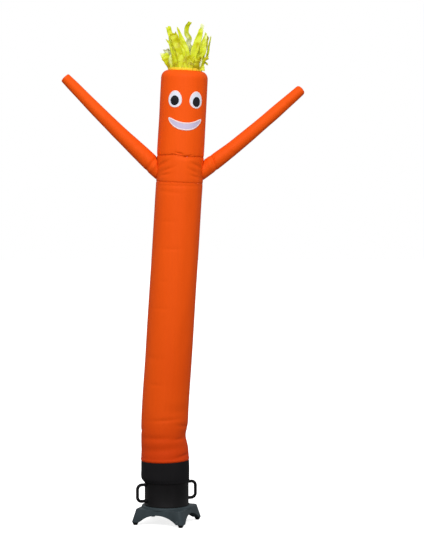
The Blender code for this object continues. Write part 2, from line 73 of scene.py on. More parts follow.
def buildStudio():
    camera = bpy.data.objects.new("camera", bpy.data.cameras.new("camera"))
    scene.collection.objects.link(camera)
    camera.data.sensor_width = 36.0
    camera.data.lens = cameraSetting["lens"]
    camera.data.clip_end = 200.0
    camera.matrix_world = aimed(cameraSetting["spot"], cameraSetting["target"])
    scene.camera = camera

    world = bpy.data.worlds.new("studioWorld")
    scene.world = world
    world.use_nodes = True
    tree = world.node_tree
    tree.nodes.clear()
    output = tree.nodes.new("ShaderNodeOutputWorld")
    mix = tree.nodes.new("ShaderNodeMixShader")
    path = tree.nodes.new("ShaderNodeLightPath")
    room = tree.nodes.new("ShaderNodeBackground")
    coords = tree.nodes.new("ShaderNodeTexCoord")
    split = tree.nodes.new("ShaderNodeSeparateXYZ")
    height = tree.nodes.new("ShaderNodeMapRange")
    height.inputs["From Min"].default_value = -1.0
    ramp = tree.nodes.new("ShaderNodeValToRGB")
    stops = ramp.color_ramp.elements
    stops[0].color = (*[studio["roomBelow"]] * 3, 1)
    stops[1].color = (*[studio["roomAbove"]] * 3, 1)
    middle = stops.new(0.5)
    middle.color = (*[studio["roomLevel"]] * 3, 1)
    link(tree, coords.outputs["Generated"], split.inputs[0])
    link(tree, split.outputs["Z"], height.inputs["Value"])
    link(tree, height.outputs["Result"], ramp.inputs["Fac"])
    link(tree, ramp.outputs["Color"], room.inputs["Color"])
    seen = tree.nodes.new("ShaderNodeBackground")
    seen.inputs["Color"].default_value = (*studio["backdrop"], 1)
    link(tree, path.outputs["Is Camera Ray"], mix.inputs[0])
    link(tree, room.outputs[0], mix.inputs[1])
    link(tree, seen.outputs[0], mix.inputs[2])
    link(tree, mix.outputs[0], output.inputs["Surface"])

    for name, (spot, target, width, height, watts) in studio["lamps"].items():
        lamp = bpy.data.objects.new(name, bpy.data.lights.new(name, "AREA"))
        lamp.data.shape = "RECTANGLE"
        lamp.data.size = width
        lamp.data.size_y = height
        lamp.data.energy = watts
        lamp.matrix_world = aimed(spot, target)
        scene.collection.objects.link(lamp)

    bm = bmesh.new()
    bmesh.ops.create_grid(bm, x_segments=1, y_segments=1, size=40)
    mesh = bpy.data.meshes.new("floor")
    bm.to_mesh(mesh)
    bm.free()
    floor = bpy.data.objects.new("floor", mesh)
    scene.collection.objects.link(floor)
    pale = bpy.data.materials.new("paleFloor")
    pale.use_nodes = True
    tree = pale.node_tree
    shader = tree.nodes["Principled BSDF"]
    shader.inputs["Base Color"].default_value = (*studio["floorColour"], 1)
    shader.inputs["Roughness"].default_value = 0.9
    shader.inputs["Specular IOR Level"].default_value = 0.1
    shade = tree.nodes.new("ShaderNodeBsdfDiffuse")
    shade.inputs["Color"].default_value = (*studio["floorShade"], 1)
    glow = tree.nodes.new("ShaderNodeEmission")
    glow.inputs["Strength"].default_value = studio["floorGlow"]
    both = tree.nodes.new("ShaderNodeAddShader")
    seenOnly = tree.nodes.new("ShaderNodeMixShader")
    path = tree.nodes.new("ShaderNodeLightPath")
    link(tree, shader.outputs[0], both.inputs[0])
    link(tree, glow.outputs[0], both.inputs[1])
    link(tree, path.outputs["Is Camera Ray"], seenOnly.inputs[0])
    link(tree, shade.outputs[0], seenOnly.inputs[1])
    link(tree, both.outputs[0], seenOnly.inputs[2])
    link(tree, seenOnly.outputs[0], tree.nodes["Material Output"].inputs["Surface"])
    mesh.materials.append(pale)

    scene.view_settings.view_transform = "Standard"
    scene.view_settings.look = "None"
    print("stage: camera, lamps and floor")


# Node helpers and the effects that several materials share


def addNode(tree, kind, **values):
    node = tree.nodes.new(kind)
    for key, value in values.items():
        if hasattr(node, key):
            setattr(node, key, value)
        else:
            node.inputs[key.replace("_", " ")].default_value = value
    return node


def mathNode(tree, operation, first, second=None, third=None):
    node = tree.nodes.new("ShaderNodeMath")
    node.operation = operation
    for socket, value in zip(node.inputs, (first, second, third)):
        if value is None:
            continue
        if isinstance(value, (int, float)):
            socket.default_value = value
        else:
            link(tree, value, socket)
    return node.outputs[0]


def mixColour(tree, share, first, second, blend="MIX"):
    node = tree.nodes.new("ShaderNodeMix")
    node.data_type = "RGBA"
    node.blend_type = blend
    for socket, value in zip((node.inputs[0], node.inputs[6], node.inputs[7]), (share, first, second)):
        if isinstance(value, (int, float)):
            socket.default_value = value
        elif isinstance(value, tuple):
            socket.default_value = (*value, 1)
        else:
            link(tree, value, socket)
    return node.outputs[2]


def newGroup(name, ins, outs):
    group = bpy.data.node_groups.new(name, "ShaderNodeTree")
    for label, kind, start in ins:
        socket = group.interface.new_socket(label, in_out="INPUT", socket_type=kind)
        if start is not None:
            socket.default_value = start
    for label, kind in outs:
        group.interface.new_socket(label, in_out="OUTPUT", socket_type=kind)
    return group, group.nodes.new("NodeGroupInput"), group.nodes.new("NodeGroupOutput")


def ridges(tree, along, pitch):
    # rounded ridges side by side
    return mathNode(tree, "ABSOLUTE", mathNode(tree, "SINE", mathNode(tree, "MULTIPLY", along, pitch)))


def buildWeaveGroup():
    # warp over weft in a plain weave, with a heavier thread every few millimetres
    group, enter, leave = newGroup(
        "plainWeave",
        [
            ("Cloth UV", "NodeSocketVector", None),
            ("Threads per metre", "NodeSocketFloat", 1100.0),
            ("Heavy threads per metre", "NodeSocketFloat", 140.0),
        ],
        [("Height", "NodeSocketFloat"), ("Shade", "NodeSocketFloat")],
    )
    scaled = addNode(group, "ShaderNodeVectorMath", operation="SCALE")
    link(group, enter.outputs["Cloth UV"], scaled.inputs[0])
    link(group, enter.outputs["Threads per metre"], scaled.inputs["Scale"])
    split = addNode(group, "ShaderNodeSeparateXYZ")
    link(group, scaled.outputs[0], split.inputs[0])
    warp, weft = (ridges(group, split.outputs[axis], math.pi) for axis in (0, 1))
    check = addNode(group, "ShaderNodeTexChecker")
    check.inputs["Scale"].default_value = 1.0
    link(group, scaled.outputs[0], check.inputs["Vector"])
    over = check.outputs["Fac"]
    under = mathNode(group, "SUBTRACT", 1.0, over)
    warpHeight = mathNode(group, "MULTIPLY", warp, over)
    height = mathNode(group, "ADD", warpHeight, mathNode(group, "MULTIPLY", weft, under))

    heavy = addNode(group, "ShaderNodeVectorMath", operation="SCALE")
    link(group, enter.outputs["Cloth UV"], heavy.inputs[0])
    link(group, enter.outputs["Heavy threads per metre"], heavy.inputs["Scale"])
    cell = addNode(group, "ShaderNodeSeparateXYZ")
    link(group, heavy.outputs[0], cell.inputs[0])
    lines = []
    for k in (0, 1):
        share = mathNode(group, "FRACT", cell.outputs[k])
        lines.append(mathNode(group, "GREATER_THAN", share, 0.86))
    grid = mathNode(group, "MAXIMUM", lines[0], lines[1])
    # Shade is painted shade in the weave's hollows and a painted highlight along the raised heavy threads
    half = mathNode(group, "MULTIPLY", height, 0.5)
    link(group, mathNode(group, "MULTIPLY_ADD", grid, 0.5, height), leave.inputs["Height"])
    link(group, mathNode(group, "MULTIPLY_ADD", grid, 0.5, half), leave.inputs["Shade"])
    return group


def buildMottleGroup():
    # slow and fine changes of tone, with streaks along the cloth's length
    group, enter, leave = newGroup(
        "mottle",
        [
            ("Place", "NodeSocketVector", None),
            ("Slow scale", "NodeSocketFloat", 2.5),
            ("Fine scale", "NodeSocketFloat", 60.0),
        ],
        [("Slow", "NodeSocketFloat"), ("Fine", "NodeSocketFloat"), ("Streak", "NodeSocketFloat")],
    )
    for label, scale, stretch in (
        ("Slow", "Slow scale", (1, 1, 0.6)),
        ("Fine", "Fine scale", (1, 1, 1)),
        ("Streak", "Fine scale", (1, 1, 0.04)),
    ):
        shaped = addNode(group, "ShaderNodeVectorMath", operation="MULTIPLY")
        shaped.inputs[1].default_value = stretch
        link(group, enter.outputs["Place"], shaped.inputs[0])
        cloud = addNode(group, "ShaderNodeTexNoise", Detail=4.0, Roughness=0.6)
        link(group, shaped.outputs[0], cloud.inputs["Vector"])
        link(group, enter.outputs[scale], cloud.inputs["Scale"])
        link(group, cloud.outputs["Fac"], leave.inputs[label])
    return group


weaveGroup = buildWeaveGroup()
mottleGroup = buildMottleGroup()


def newMaterial(name, roughness, **constants):
    made = bpy.data.materials.new(name)
    made.use_nodes = True
    shader = made.node_tree.nodes["Principled BSDF"]
    shader.inputs["Roughness"].default_value = roughness
    for key, value in constants.items():
        shader.inputs[key.replace("_", " ")].default_value = value
    return made, made.node_tree, shader


def useGroup(tree, group, **values):
    node = tree.nodes.new("ShaderNodeGroup")
    node.node_tree = group
    for key, value in values.items():
        node.inputs[key.replace("_", " ")].default_value = value
    return node


def giveBump(tree, shader, height, strength, distance):
    bump = addNode(tree, "ShaderNodeBump", Strength=strength, Distance=distance)
    link(tree, height, bump.inputs["Height"])
    link(tree, bump.outputs[0], shader.inputs["Normal"])


def clothMaterial(name, look):
    made, tree, shader = newMaterial(name, look["roughness"], Specular_IOR_Level=look["specular"])
    uv = addNode(tree, "ShaderNodeUVMap", uv_map="clothUV")
    place = addNode(tree, "ShaderNodeTexCoord")
    weave = useGroup(
        tree, weaveGroup, Threads_per_metre=look["threads"], Heavy_threads_per_metre=look["heavyThreads"]
    )
    link(tree, uv.outputs[0], weave.inputs["Cloth UV"])
    mottle = useGroup(tree, mottleGroup, Slow_scale=look["slowScale"], Fine_scale=look["fineScale"])
    link(tree, place.outputs["Object"], mottle.inputs["Place"])

    slow = mathNode(tree, "MULTIPLY_ADD", mottle.outputs["Slow"], 2.2, -0.6)
    colour = mixColour(tree, slow, look["dark"], look["light"])
    if "deep" in look:  # painted shade: the orange is darker towards the blower, where the light falls off
        split = addNode(tree, "ShaderNodeSeparateXYZ")
        link(tree, place.outputs["Object"], split.inputs[0])
        falloff = addNode(tree, "ShaderNodeMapRange", interpolation_type="SMOOTHSTEP")
        falloff.inputs["From Min"].default_value = look["deepFrom"][0]
        falloff.inputs["From Max"].default_value = look["deepFrom"][1]
        falloff.inputs["To Min"].default_value = 1.0
        falloff.inputs["To Max"].default_value = 0.0
        link(tree, split.outputs["Z"], falloff.inputs["Value"])
        colour = mixColour(tree, falloff.outputs["Result"], colour, look["deep"])
    # streaks along the cloth, a real change of tone, and the weave's painted shade and highlight darken or
    # lighten the colour
    streakAndPaintedShade = []
    for source, amount in (
        (mottle.outputs["Streak"], look["streak"]), (weave.outputs["Shade"], look["weaveShade"]),
    ):
        streakAndPaintedShade.append(mathNode(tree, "MULTIPLY_ADD", source, amount, 1 - amount / 2))
    tint = mathNode(tree, "MULTIPLY", *streakAndPaintedShade)
    shaded = addNode(tree, "ShaderNodeVectorMath", operation="SCALE")
    link(tree, colour, shaded.inputs[0])
    link(tree, tint, shaded.inputs["Scale"])
    link(tree, shaded.outputs[0], shader.inputs["Base Color"])
    rough = mathNode(tree, "MULTIPLY_ADD", mottle.outputs["Fine"], 0.14, look["roughness"] - 0.07)
    link(tree, rough, shader.inputs["Roughness"])

    crinkle = mathNode(tree, "MULTIPLY", mottle.outputs["Fine"], look["crinkle"])
    height = mathNode(tree, "MULTIPLY_ADD", weave.outputs["Height"], look["weaveHeight"], crinkle)
    giveBump(tree, shader, height, look["bump"], 0.001)
    return made


clothLooks = {
    "orangeNylon": {
        "light": (0.870, 0.096, 0.003), "dark": (0.800, 0.080, 0.002), "roughness": 0.62,
        "specular": 0.10, "threads": 1100.0, "heavyThreads": 150.0, "slowScale": 2.2, "fineScale": 70.0,
        "streak": 0.07, "weaveShade": 0.05, "weaveHeight": 0.12, "crinkle": 0.9, "bump": 0.35,
        # deep is painted shade, a darker orange towards the blower where the light falls off; deepFrom gives
        # the heights it runs between
        "deep": (0.640, 0.046, 0.0015), "deepFrom": (0.36, 0.86),  # heights
    },
    "blackNylon": {
        "light": (0.0145, 0.0135, 0.0150), "dark": (0.0095, 0.0092, 0.0100), "roughness": 0.70,
        "specular": 0.06, "threads": 1000.0, "heavyThreads": 150.0, "slowScale": 4.0, "fineScale": 70.0,
        "streak": 0.15, "weaveShade": 0.15, "weaveHeight": 0.14, "crinkle": 0.9, "bump": 0.4,
    },
    "goldNylon": {
        "light": (0.900, 0.640, 0.030), "dark": (0.820, 0.540, 0.018), "roughness": 0.55,
        "specular": 0.25, "threads": 1100.0, "heavyThreads": 150.0, "slowScale": 12.0, "fineScale": 120.0,
        "streak": 0.2, "weaveShade": 0.08, "weaveHeight": 0.12, "crinkle": 0.9, "bump": 0.4,
    },
    "whiteSatin": {
        "light": (0.760, 0.790, 0.880), "dark": (0.640, 0.660, 0.790), "roughness": 0.6,
        "specular": 0.2, "threads": 1300.0, "heavyThreads": 150.0, "slowScale": 9.0, "fineScale": 90.0,
        "streak": 0.04, "weaveShade": 0.05, "weaveHeight": 0.1, "crinkle": 0.5, "bump": 0.3,
    },
    "lavenderSatin": {
        "light": (0.600, 0.530, 0.700), "dark": (0.520, 0.460, 0.640), "roughness": 0.6,
        "specular": 0.2, "threads": 1300.0, "heavyThreads": 150.0, "slowScale": 9.0, "fineScale": 90.0,
        "streak": 0.04, "weaveShade": 0.05, "weaveHeight": 0.1, "crinkle": 0.5, "bump": 0.3,
    },
    "blackSatin": {
        "light": (0.022, 0.023, 0.032), "dark": (0.007, 0.007, 0.009), "roughness": 0.42,
        "specular": 0.12, "threads": 1300.0, "heavyThreads": 150.0, "slowScale": 14.0, "fineScale": 90.0,
        "streak": 0.1, "weaveShade": 0.1, "weaveHeight": 0.1, "crinkle": 0.5, "bump": 0.3,
    },
}


stitchesPerMetre = 1100
threadLooks = {
    # name: colour between the stitches, with painted shade in the grooves; colour on them, with a painted
    # highlight on the crests
    "orangeThread": ((0.55, 0.050, 0.004), (0.78, 0.085, 0.007)),
    "blackThread": ((0.006, 0.006, 0.007), (0.014, 0.014, 0.016)),
    "whiteThread": ((0.80, 0.60, 0.57), (0.93, 0.79, 0.77)),
}


def threadMaterial(name, colour, pale):
    # satin stitches side by side: the UV runs along the row of stitches in metres
    made, tree, shader = newMaterial(name, 0.5, Specular_IOR_Level=0.1)
    uv = addNode(tree, "ShaderNodeUVMap", uv_map="clothUV")
    split = addNode(tree, "ShaderNodeSeparateXYZ")
    link(tree, uv.outputs[0], split.inputs[0])
    stitch = ridges(tree, split.outputs[0], math.pi * stitchesPerMetre)
    # the thread's own colour, with painted shade between the stitches and a painted highlight on them,
    # following the ridges
    link(tree, mixColour(tree, stitch, colour, pale), shader.inputs["Base Color"])
    giveBump(tree, shader, stitch, 0.6, 0.0004)
    return made


ribbonTones = {
    # colour by tone, from olive as painted shade over the nylon's own lime to pale as painted light coming
    # through
    0.0: (0.31, 0.25, 0.003),
    0.28: (0.51, 0.48, 0.003),
    0.5: (0.61, 0.67, 0.006),
    0.72: (0.64, 0.70, 0.05),
    1.0: (0.84, 0.88, 0.52),
}
ribbonLook = {
    "roughness": 0.42, "specular": 0.25, "slowScale": 26.0, "fineScale": 160.0, "toneSpread": 0.7,
    "threads": 1300.0, "heavyThreads": 160.0, "weaveHeight": 0.08, "bump": 0.35,
}


def ribbonMaterial():
    # each ribbon carries its own tone, painted shade and painted light over the nylon's lime
    look = ribbonLook
    made, tree, shader = newMaterial("limeRibbon", look["roughness"], Specular_IOR_Level=look["specular"])
    paintedLightTone = addNode(tree, "ShaderNodeAttribute", attribute_name="paintedLightTone")
    place = addNode(tree, "ShaderNodeTexCoord")
    mottle = useGroup(tree, mottleGroup, Slow_scale=look["slowScale"], Fine_scale=look["fineScale"])
    link(tree, place.outputs["Object"], mottle.inputs["Place"])
    spread = look["toneSpread"]
    shift = mathNode(tree, "MULTIPLY_ADD", mottle.outputs["Slow"], spread, -spread / 2)
    value = mathNode(tree, "ADD", paintedLightTone.outputs["Fac"], shift)
    ramp = addNode(tree, "ShaderNodeValToRGB")
    stops = ramp.color_ramp.elements
    for spot, colour in ribbonTones.items():
        stop = stops[0] if spot == 0 else stops[-1] if spot == 1 else stops.new(spot)
        stop.color = (*colour, 1)
    link(tree, value, ramp.inputs["Fac"])
    link(tree, ramp.outputs["Color"], shader.inputs["Base Color"])
    rough = mathNode(tree, "MULTIPLY_ADD", mottle.outputs["Fine"], 0.2, 0.3)
    link(tree, rough, shader.inputs["Roughness"])
    uv = addNode(tree, "ShaderNodeUVMap", uv_map="clothUV")
    weave = useGroup(
        tree, weaveGroup, Threads_per_metre=look["threads"], Heavy_threads_per_metre=look["heavyThreads"]
    )
    link(tree, uv.outputs[0], weave.inputs["Cloth UV"])
    height = mathNode(
        tree, "MULTIPLY_ADD", weave.outputs["Height"], look["weaveHeight"], mottle.outputs["Fine"]
    )
    giveBump(tree, shader, height, look["bump"], 0.001)
    return made


plasticLooks = {
    "drumPlastic": {
        "light": (0.0100, 0.0094, 0.0102), "dark": (0.0060, 0.0058, 0.0062), "scuff": (0.024, 0.023, 0.024),
        "roughness": 0.46, "grain": 700.0, "bump": 0.18, "specular": 0.10,
    },
    "plinthPlastic": {
        "light": (0.046, 0.063, 0.072), "dark": (0.029, 0.040, 0.045), "scuff": (0.105, 0.112, 0.118),
        "roughness": 0.52, "grain": 620.0, "bump": 0.25, "specular": 0.15,
    },
    "footRubber": {
        "light": (0.0090, 0.0095, 0.0100), "dark": (0.0050, 0.0052, 0.0055), "scuff": (0.024, 0.024, 0.023),
        "roughness": 0.82, "grain": 500.0, "bump": 0.3, "specular": 0.2,
    },
    "coatedWire": {
        "light": (0.026, 0.026, 0.026), "dark": (0.014, 0.014, 0.014), "scuff": (0.09, 0.09, 0.088),
        "roughness": 0.4, "grain": 900.0, "bump": 0.1, "specular": 0.4,
    },
}


def mouldedMaterial(name, look):
    made, tree, shader = newMaterial(name, look["roughness"], Specular_IOR_Level=look["specular"])
    place = addNode(tree, "ShaderNodeTexCoord")
    mottle = useGroup(tree, mottleGroup, Slow_scale=9.0, Fine_scale=look["grain"])
    link(tree, place.outputs["Object"], mottle.inputs["Place"])
    slow = mathNode(tree, "MULTIPLY_ADD", mottle.outputs["Slow"], 2.4, -0.7)
    colour = mixColour(tree, slow, look["dark"], look["light"])
    cloud = addNode(tree, "ShaderNodeTexNoise", Scale=38.0, Detail=8.0, Roughness=0.75)
    link(tree, place.outputs["Object"], cloud.inputs["Vector"])
    scuffs = mathNode(tree, "MULTIPLY", mathNode(tree, "GREATER_THAN", cloud.outputs["Fac"], 0.64), 0.35)
    link(tree, mixColour(tree, scuffs, colour, look["scuff"]), shader.inputs["Base Color"])
    rough = mathNode(tree, "MULTIPLY_ADD", mottle.outputs["Slow"], 0.2, look["roughness"] - 0.1)
    link(tree, rough, shader.inputs["Roughness"])
    giveBump(tree, shader, mottle.outputs["Fine"], look["bump"], 0.0004)
    return made


materials = {name: clothMaterial(name, look) for name, look in clothLooks.items()}
materials["limeRibbon"] = ribbonMaterial()
for name, colours in threadLooks.items():
    materials[name] = threadMaterial(name, *colours)
for name, look in plasticLooks.items():
    materials[name] = mouldedMaterial(name, look)
print("stage: materials")

# Shapes of the cloth

blowerSpot = {"x": -0.1130, "lift": 0.0033, "turn": math.radians(24.5)}
clothLift = 0.0100  # added to every height of the cloth
seams = {  # heights
    "hem": 0.270, "band": 0.413, "underarm": 2.284, "shoulder": 2.458, "crownStart": 2.975, "crownTop": 3.027,
}
ventRadius = 0.113

tubeRows = [
    # height, shift, radius
    (0.232, -0.0015, 0.1535),
    (0.270, -0.0015, 0.1538),
    (0.298, -0.0090, 0.1622),
    (0.360, -0.0095, 0.1624),
    (0.413, -0.0106, 0.1618),
    (0.520, -0.0126, 0.1590),
    (0.654, -0.0128, 0.1585),
    (0.822, -0.0058, 0.1580),
    (1.090, 0.0128, 0.1578),
    (1.495, 0.0385, 0.1572),
    (1.900, 0.0644, 0.1568),
    (2.170, 0.0804, 0.1565),
    (2.300, 0.0886, 0.1568),
    (2.458, 0.0945, 0.1578),
    (2.700, 0.1082, 0.1566),
    (2.840, 0.1154, 0.1570),
    (2.975, 0.1225, 0.1562),
    (3.100, 0.1280, 0.1562),
]
leanSpan = 0.24  # the lean is taken over this much height
levelSpan = 0.13  # and comes in over this much above the hem

# Valleys pressed into the tube: they run round it at a slope, and fade with height and with the turn
creases = [
    # height, turn (deg from the front), slope (m per radian), depth, tall, wide (deg)
    (0.581, 84, 0.000, 0.0160, 0.056, 46),
    (0.4245, 0, 0.000, -0.0030, 0.006, 300),
    (0.700, 4, 0.014, 0.0036, 0.012, 38),
    (0.655, 58, -0.020, 0.0045, 0.013, 26),
    (0.575, -24, 0.006, 0.0050, 0.018, 42),
    (0.568, 40, 0.004, 0.0045, 0.012, 20),
    (0.500, -14, 0.010, 0.0052, 0.026, 70),
    (0.454, 54, 0.018, 0.0055, 0.010, 26),
    (0.610, -88, 0.030, 0.0034, 0.014, 24),
    (0.760, 35, 0.000, 0.0045, 0.040, 34),
    (0.930, -30, 0.004, 0.0018, 0.012, 22),
    (1.105, -44, 0.000, 0.0022, 0.020, 26),
    (1.120, -70, 0.000, 0.0020, 0.160, 24),
    (1.250, 38, 0.000, 0.0030, 0.120, 12),
    (1.440, -30, 0.004, 0.0018, 0.010, 22),
    (1.700, 30, 0.000, 0.0030, 0.200, 12),
    (1.620, -24, -0.006, 0.0014, 0.010, 14),
    (1.840, -10, 0.010, 0.0020, 0.012, 26),
    (2.020, -22, 0.004, 0.0016, 0.010, 20),
    (2.100, 34, 0.000, 0.0022, 0.090, 10),
    (2.448, 12, 0.000, 0.0040, 0.012, 26),
    (2.470, -2, -0.020, 0.0085, 0.007, 9),
    (2.462, 20, 0.030, 0.0070, 0.006, 9),
    (2.405, -46, 0.060, 0.0066, 0.012, 16),
    (2.365, -34, 0.055, 0.0052, 0.010, 16),
    (2.330, -40, 0.030, 0.0038, 0.010, 16),
    (2.400, 46, -0.055, 0.0066, 0.012, 17),
    (2.360, 38, -0.060, 0.0052, 0.010, 15),
    (2.325, 44, -0.030, 0.0038, 0.010, 16),
    (2.262, 12, 0.004, 0.0024, 0.010, 60),
    (2.216, -24, -0.010, 0.0018, 0.012, 30),
    (0.520, 160, 0.012, 0.0032, 0.012, 40),
    (0.640, -150, -0.020, 0.0036, 0.014, 34),
    (0.770, 175, 0.015, 0.0022, 0.014, 30),
]


def smoothRow(rows, at):
    last = len(rows) - 1
    i = max(k for k in range(last) if k == 0 or rows[k][0] <= at)
    low, high = rows[i], rows[i + 1]
    span = high[0] - low[0]
    t = (at - low[0]) / span

    def slope(k, column):
        a, b = rows[max(k - 1, 0)], rows[min(k + 1, last)]
        return (b[column] - a[column]) / (b[0] - a[0])

    found = []
    for column in range(1, len(low)):
        start, end = low[column], high[column]
        leaveSlope, arriveSlope = slope(i, column) * span, slope(i + 1, column) * span
        found.append(
            (2 * t**3 - 3 * t**2 + 1) * start
            + (t**3 - 2 * t**2 + t) * leaveSlope
            + (3 * t**2 - 2 * t**3) * end
            + (t**3 - t**2) * arriveSlope
        )
    return found


def tubeFrame(height):
    shift = smoothRow(tubeRows, height)[0]
    low = max(height - leanSpan / 2, tubeRows[0][0])
    high = min(height + leanSpan / 2, tubeRows[-1][0])
    lean = math.atan2(smoothRow(tubeRows, high)[0] - smoothRow(tubeRows, low)[0], high - low)
    lean *= min((height - seams["hem"]) / levelSpan, 1)
    spot = (blowerSpot["x"] + shift, 0, height + clothLift)
    return Matrix.Translation(spot) @ Matrix.Rotation(lean, 4, "Y")


def tubeRadius(height):
    radius = smoothRow(tubeRows, height)[1]
    if height <= seams["crownStart"]:
        return radius
    rise = min((height - seams["crownStart"]) / (seams["crownTop"] - seams["crownStart"]), 1)
    return ventRadius + (radius - ventRadius) * math.sqrt(1 - rise**2)


def wrapped(degrees):
    return (degrees + 180) % 360 - 180


def roundNoise(turn, scale, level):
    # noise that joins up round the tube
    angle = math.radians(turn)
    return noise.noise(Vector((scale * math.cos(angle), scale * math.sin(angle), level)))


def creasePush(turn, height):
    push = 0
    for creaseHeight, creaseTurn, slope, depth, tall, wide in creases:
        away = wrapped(turn - creaseTurn)
        if abs(away) > 2.6 * wide:
            continue
        rise = height - creaseHeight - slope * math.radians(away)
        if abs(rise) > 3 * tall:
            continue
        push += depth * math.exp(-((rise / tall) ** 2) - (away / wide) ** 2)
    return push


# Puckers where a seam's thread draws the cloth up
puckers = [
    # height, depth of the groove, depth of the puckers, reach (m), waves round the tube
    (seams["band"], 0.0016, 0.0012, 0.022, 41),
    (seams["underarm"], 0.0026, 0.0016, 0.026, 37),
    (seams["shoulder"], 0.0034, 0.0034, 0.034, 23),
]


def puckerPush(turn, height):
    push = 0
    angle = math.radians(turn)
    for seamHeight, groove, depth, reach, waves in puckers:
        away = abs(height - seamHeight)
        if away > 4 * reach:
            continue
        wander = 2.4 * roundNoise(turn, 2.2, seamHeight * 7)
        strength = 0.5 + 0.5 * roundNoise(turn, 3.1, seamHeight * 3 + 4)
        wave = 0.5 + 0.5 * math.sin(waves * angle + wander * 4 + (2.0 if height > seamHeight else 0.0))
        push += groove * math.exp(-away / 0.006) + depth * strength * wave * math.exp(-away / reach)
    return push


def slackPush(turn, height):
    # the slow unevenness of blown cloth
    return 0.0011 * roundNoise(turn, 1.6, height * 3.0) + 0.0009 * roundNoise(turn, 4.0, height * 1.1 + 9)


shoulderWaves = ((0.009, -18, 17), (-0.004, 16, 12), (0.003, 4, 5))  # rise, turn and width (deg)


def seamRise(turn, height):
    # the shoulder seam is sewn a little unevenly over the front
    falloff = math.exp(-(((height - seams["shoulder"]) / 0.05) ** 2))
    wave = 0
    for rise, middle, wide in shoulderWaves:
        wave += rise * math.exp(-((wrapped(turn - middle) / wide) ** 2))
    return wave * falloff


def onTube(turn, height, lift=0.0):
    reach = tubeRadius(height) + lift
    reach -= creasePush(turn, height) + puckerPush(turn, height) + slackPush(turn, height)
    angle = math.radians(turn)
    spot = tubeFrame(height) @ Vector((reach * math.sin(angle), -reach * math.cos(angle), 0))
    spot.z += seamRise(turn, height)
    return spot


# Making pieces


def finishPiece(bm, name, material):
    mesh = bpy.data.meshes.new(name)
    bm.to_mesh(mesh)
    bm.free()
    piece = bpy.data.objects.new(name, mesh)
    scene.collection.objects.link(piece)
    mesh.materials.append(materials[material])
    mesh.shade_smooth()
    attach(piece, "root")
    return piece


def clothGrid(columns, rows, size, place, wraps):
    # a grid whose points, from 0 to 1 across and up, place puts in the world; its UV is in metres
    bm = bmesh.new()
    uvLayer = bm.loops.layers.uv.new("clothUV")
    bmesh.ops.create_grid(bm, x_segments=columns, y_segments=rows, size=0.5)
    for face in bm.faces:
        for loop in face.loops:
            loop[uvLayer].uv = ((loop.vert.co.x + 0.5) * size[0], (loop.vert.co.y + 0.5) * size[1])
    for vert in bm.verts:
        vert.co = place(vert.co.x + 0.5, vert.co.y + 0.5)
    if wraps:
        bmesh.ops.remove_doubles(bm, verts=bm.verts, dist=2e-5)
    return bm


def giveWall(piece, thickness, offset=-1):
    wall = piece.modifiers.new("wall", "SOLIDIFY")
    wall.thickness = thickness
    wall.offset = offset
    wall.use_even_offset = False


clothWall = 0.0012
bodyParts = {
    # name: node, seam below, seam above, columns, rows, material, slot, what it rests on
    "sleevePiece": ("sleeve", "hem", "band", 180, 40, "blackNylon", "black_cloth", "drum"),
    "bodyPiece": ("body_panel", "band", "underarm", 160, 250, "orangeNylon", "orange_cloth", "sleevePiece"),
    "chestPiece": (
        "chest_panel", "underarm", "shoulder", 180, 44, "orangeNylon", "orange_cloth", "bodyPiece",
    ),
    "headPiece": (
        "head_panel", "shoulder", "crownTop", 168, 110, "orangeNylon", "orange_cloth", "chestPiece",
    ),
}
hemSetting = {"fold": 0.0016, "foldHeight": 0.009, "gather": 0.0016, "gathers": 31, "reach": 0.03}
crownRows = 14
seamGap = 0.00015


def tubeRowHeights(low, high, rows):
    # rows stand closer together near the two seams
    heights = []
    for k in range(rows + 1):
        t = k / rows
        eased = 0.5 - 0.5 * math.cos(math.pi * t)
        heights.append(low + (high - low) * (0.7 * t + 0.3 * eased))
    return heights


def buildTube(name):
    node, lowSeam, highSeam, columns, rows, material, slot, restsOn = bodyParts[name]
    low, high = seams[lowSeam], seams[highSeam]
    bottom = low + (0 if lowSeam == "hem" else seamGap)
    top = high - (0 if highSeam == "crownTop" else seamGap)
    heights = tubeRowHeights(bottom, top, rows)
    if name == "headPiece":  # rows follow the crown's round
        start = seams["crownStart"]
        steps = [math.sin(math.pi / 2 * (k + 1) / crownRows) for k in range(crownRows)]
        heights = tubeRowHeights(bottom, start, rows - crownRows)
        heights += [start + (high - start) * step for step in steps]
    around = math.tau * tubeRadius((low + high) / 2)

    def place(u, v):
        height = heights[round(v * rows)]
        turn = 360 * u - 180
        lift = 0.0
        if name == "sleevePiece":  # the hem is turned up over a cord channel, and its gathers run up from it
            h = hemSetting
            angle = math.radians(turn)
            away = height - low
            wander = 3 * noise.noise(Vector((math.cos(angle) * 2, 3, height * 8)))
            gather = 0.5 + 0.5 * math.sin(angle * h["gathers"] + wander)
            lift += h["fold"] * math.exp(-(((away - h["foldHeight"]) / 0.006) ** 2))
            lift -= h["gather"] * gather * math.exp(-away / h["reach"]) * min(away / 0.008, 1)
        return onTube(turn, height, lift)

    bm = clothGrid(columns, rows, (around, high - low), place, True)
    if name == "chestPiece":
        openArmholes(bm)
    piece = finishPiece(bm, name, material)
    giveWall(piece, clothWall)
    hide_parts(node)


# Arms

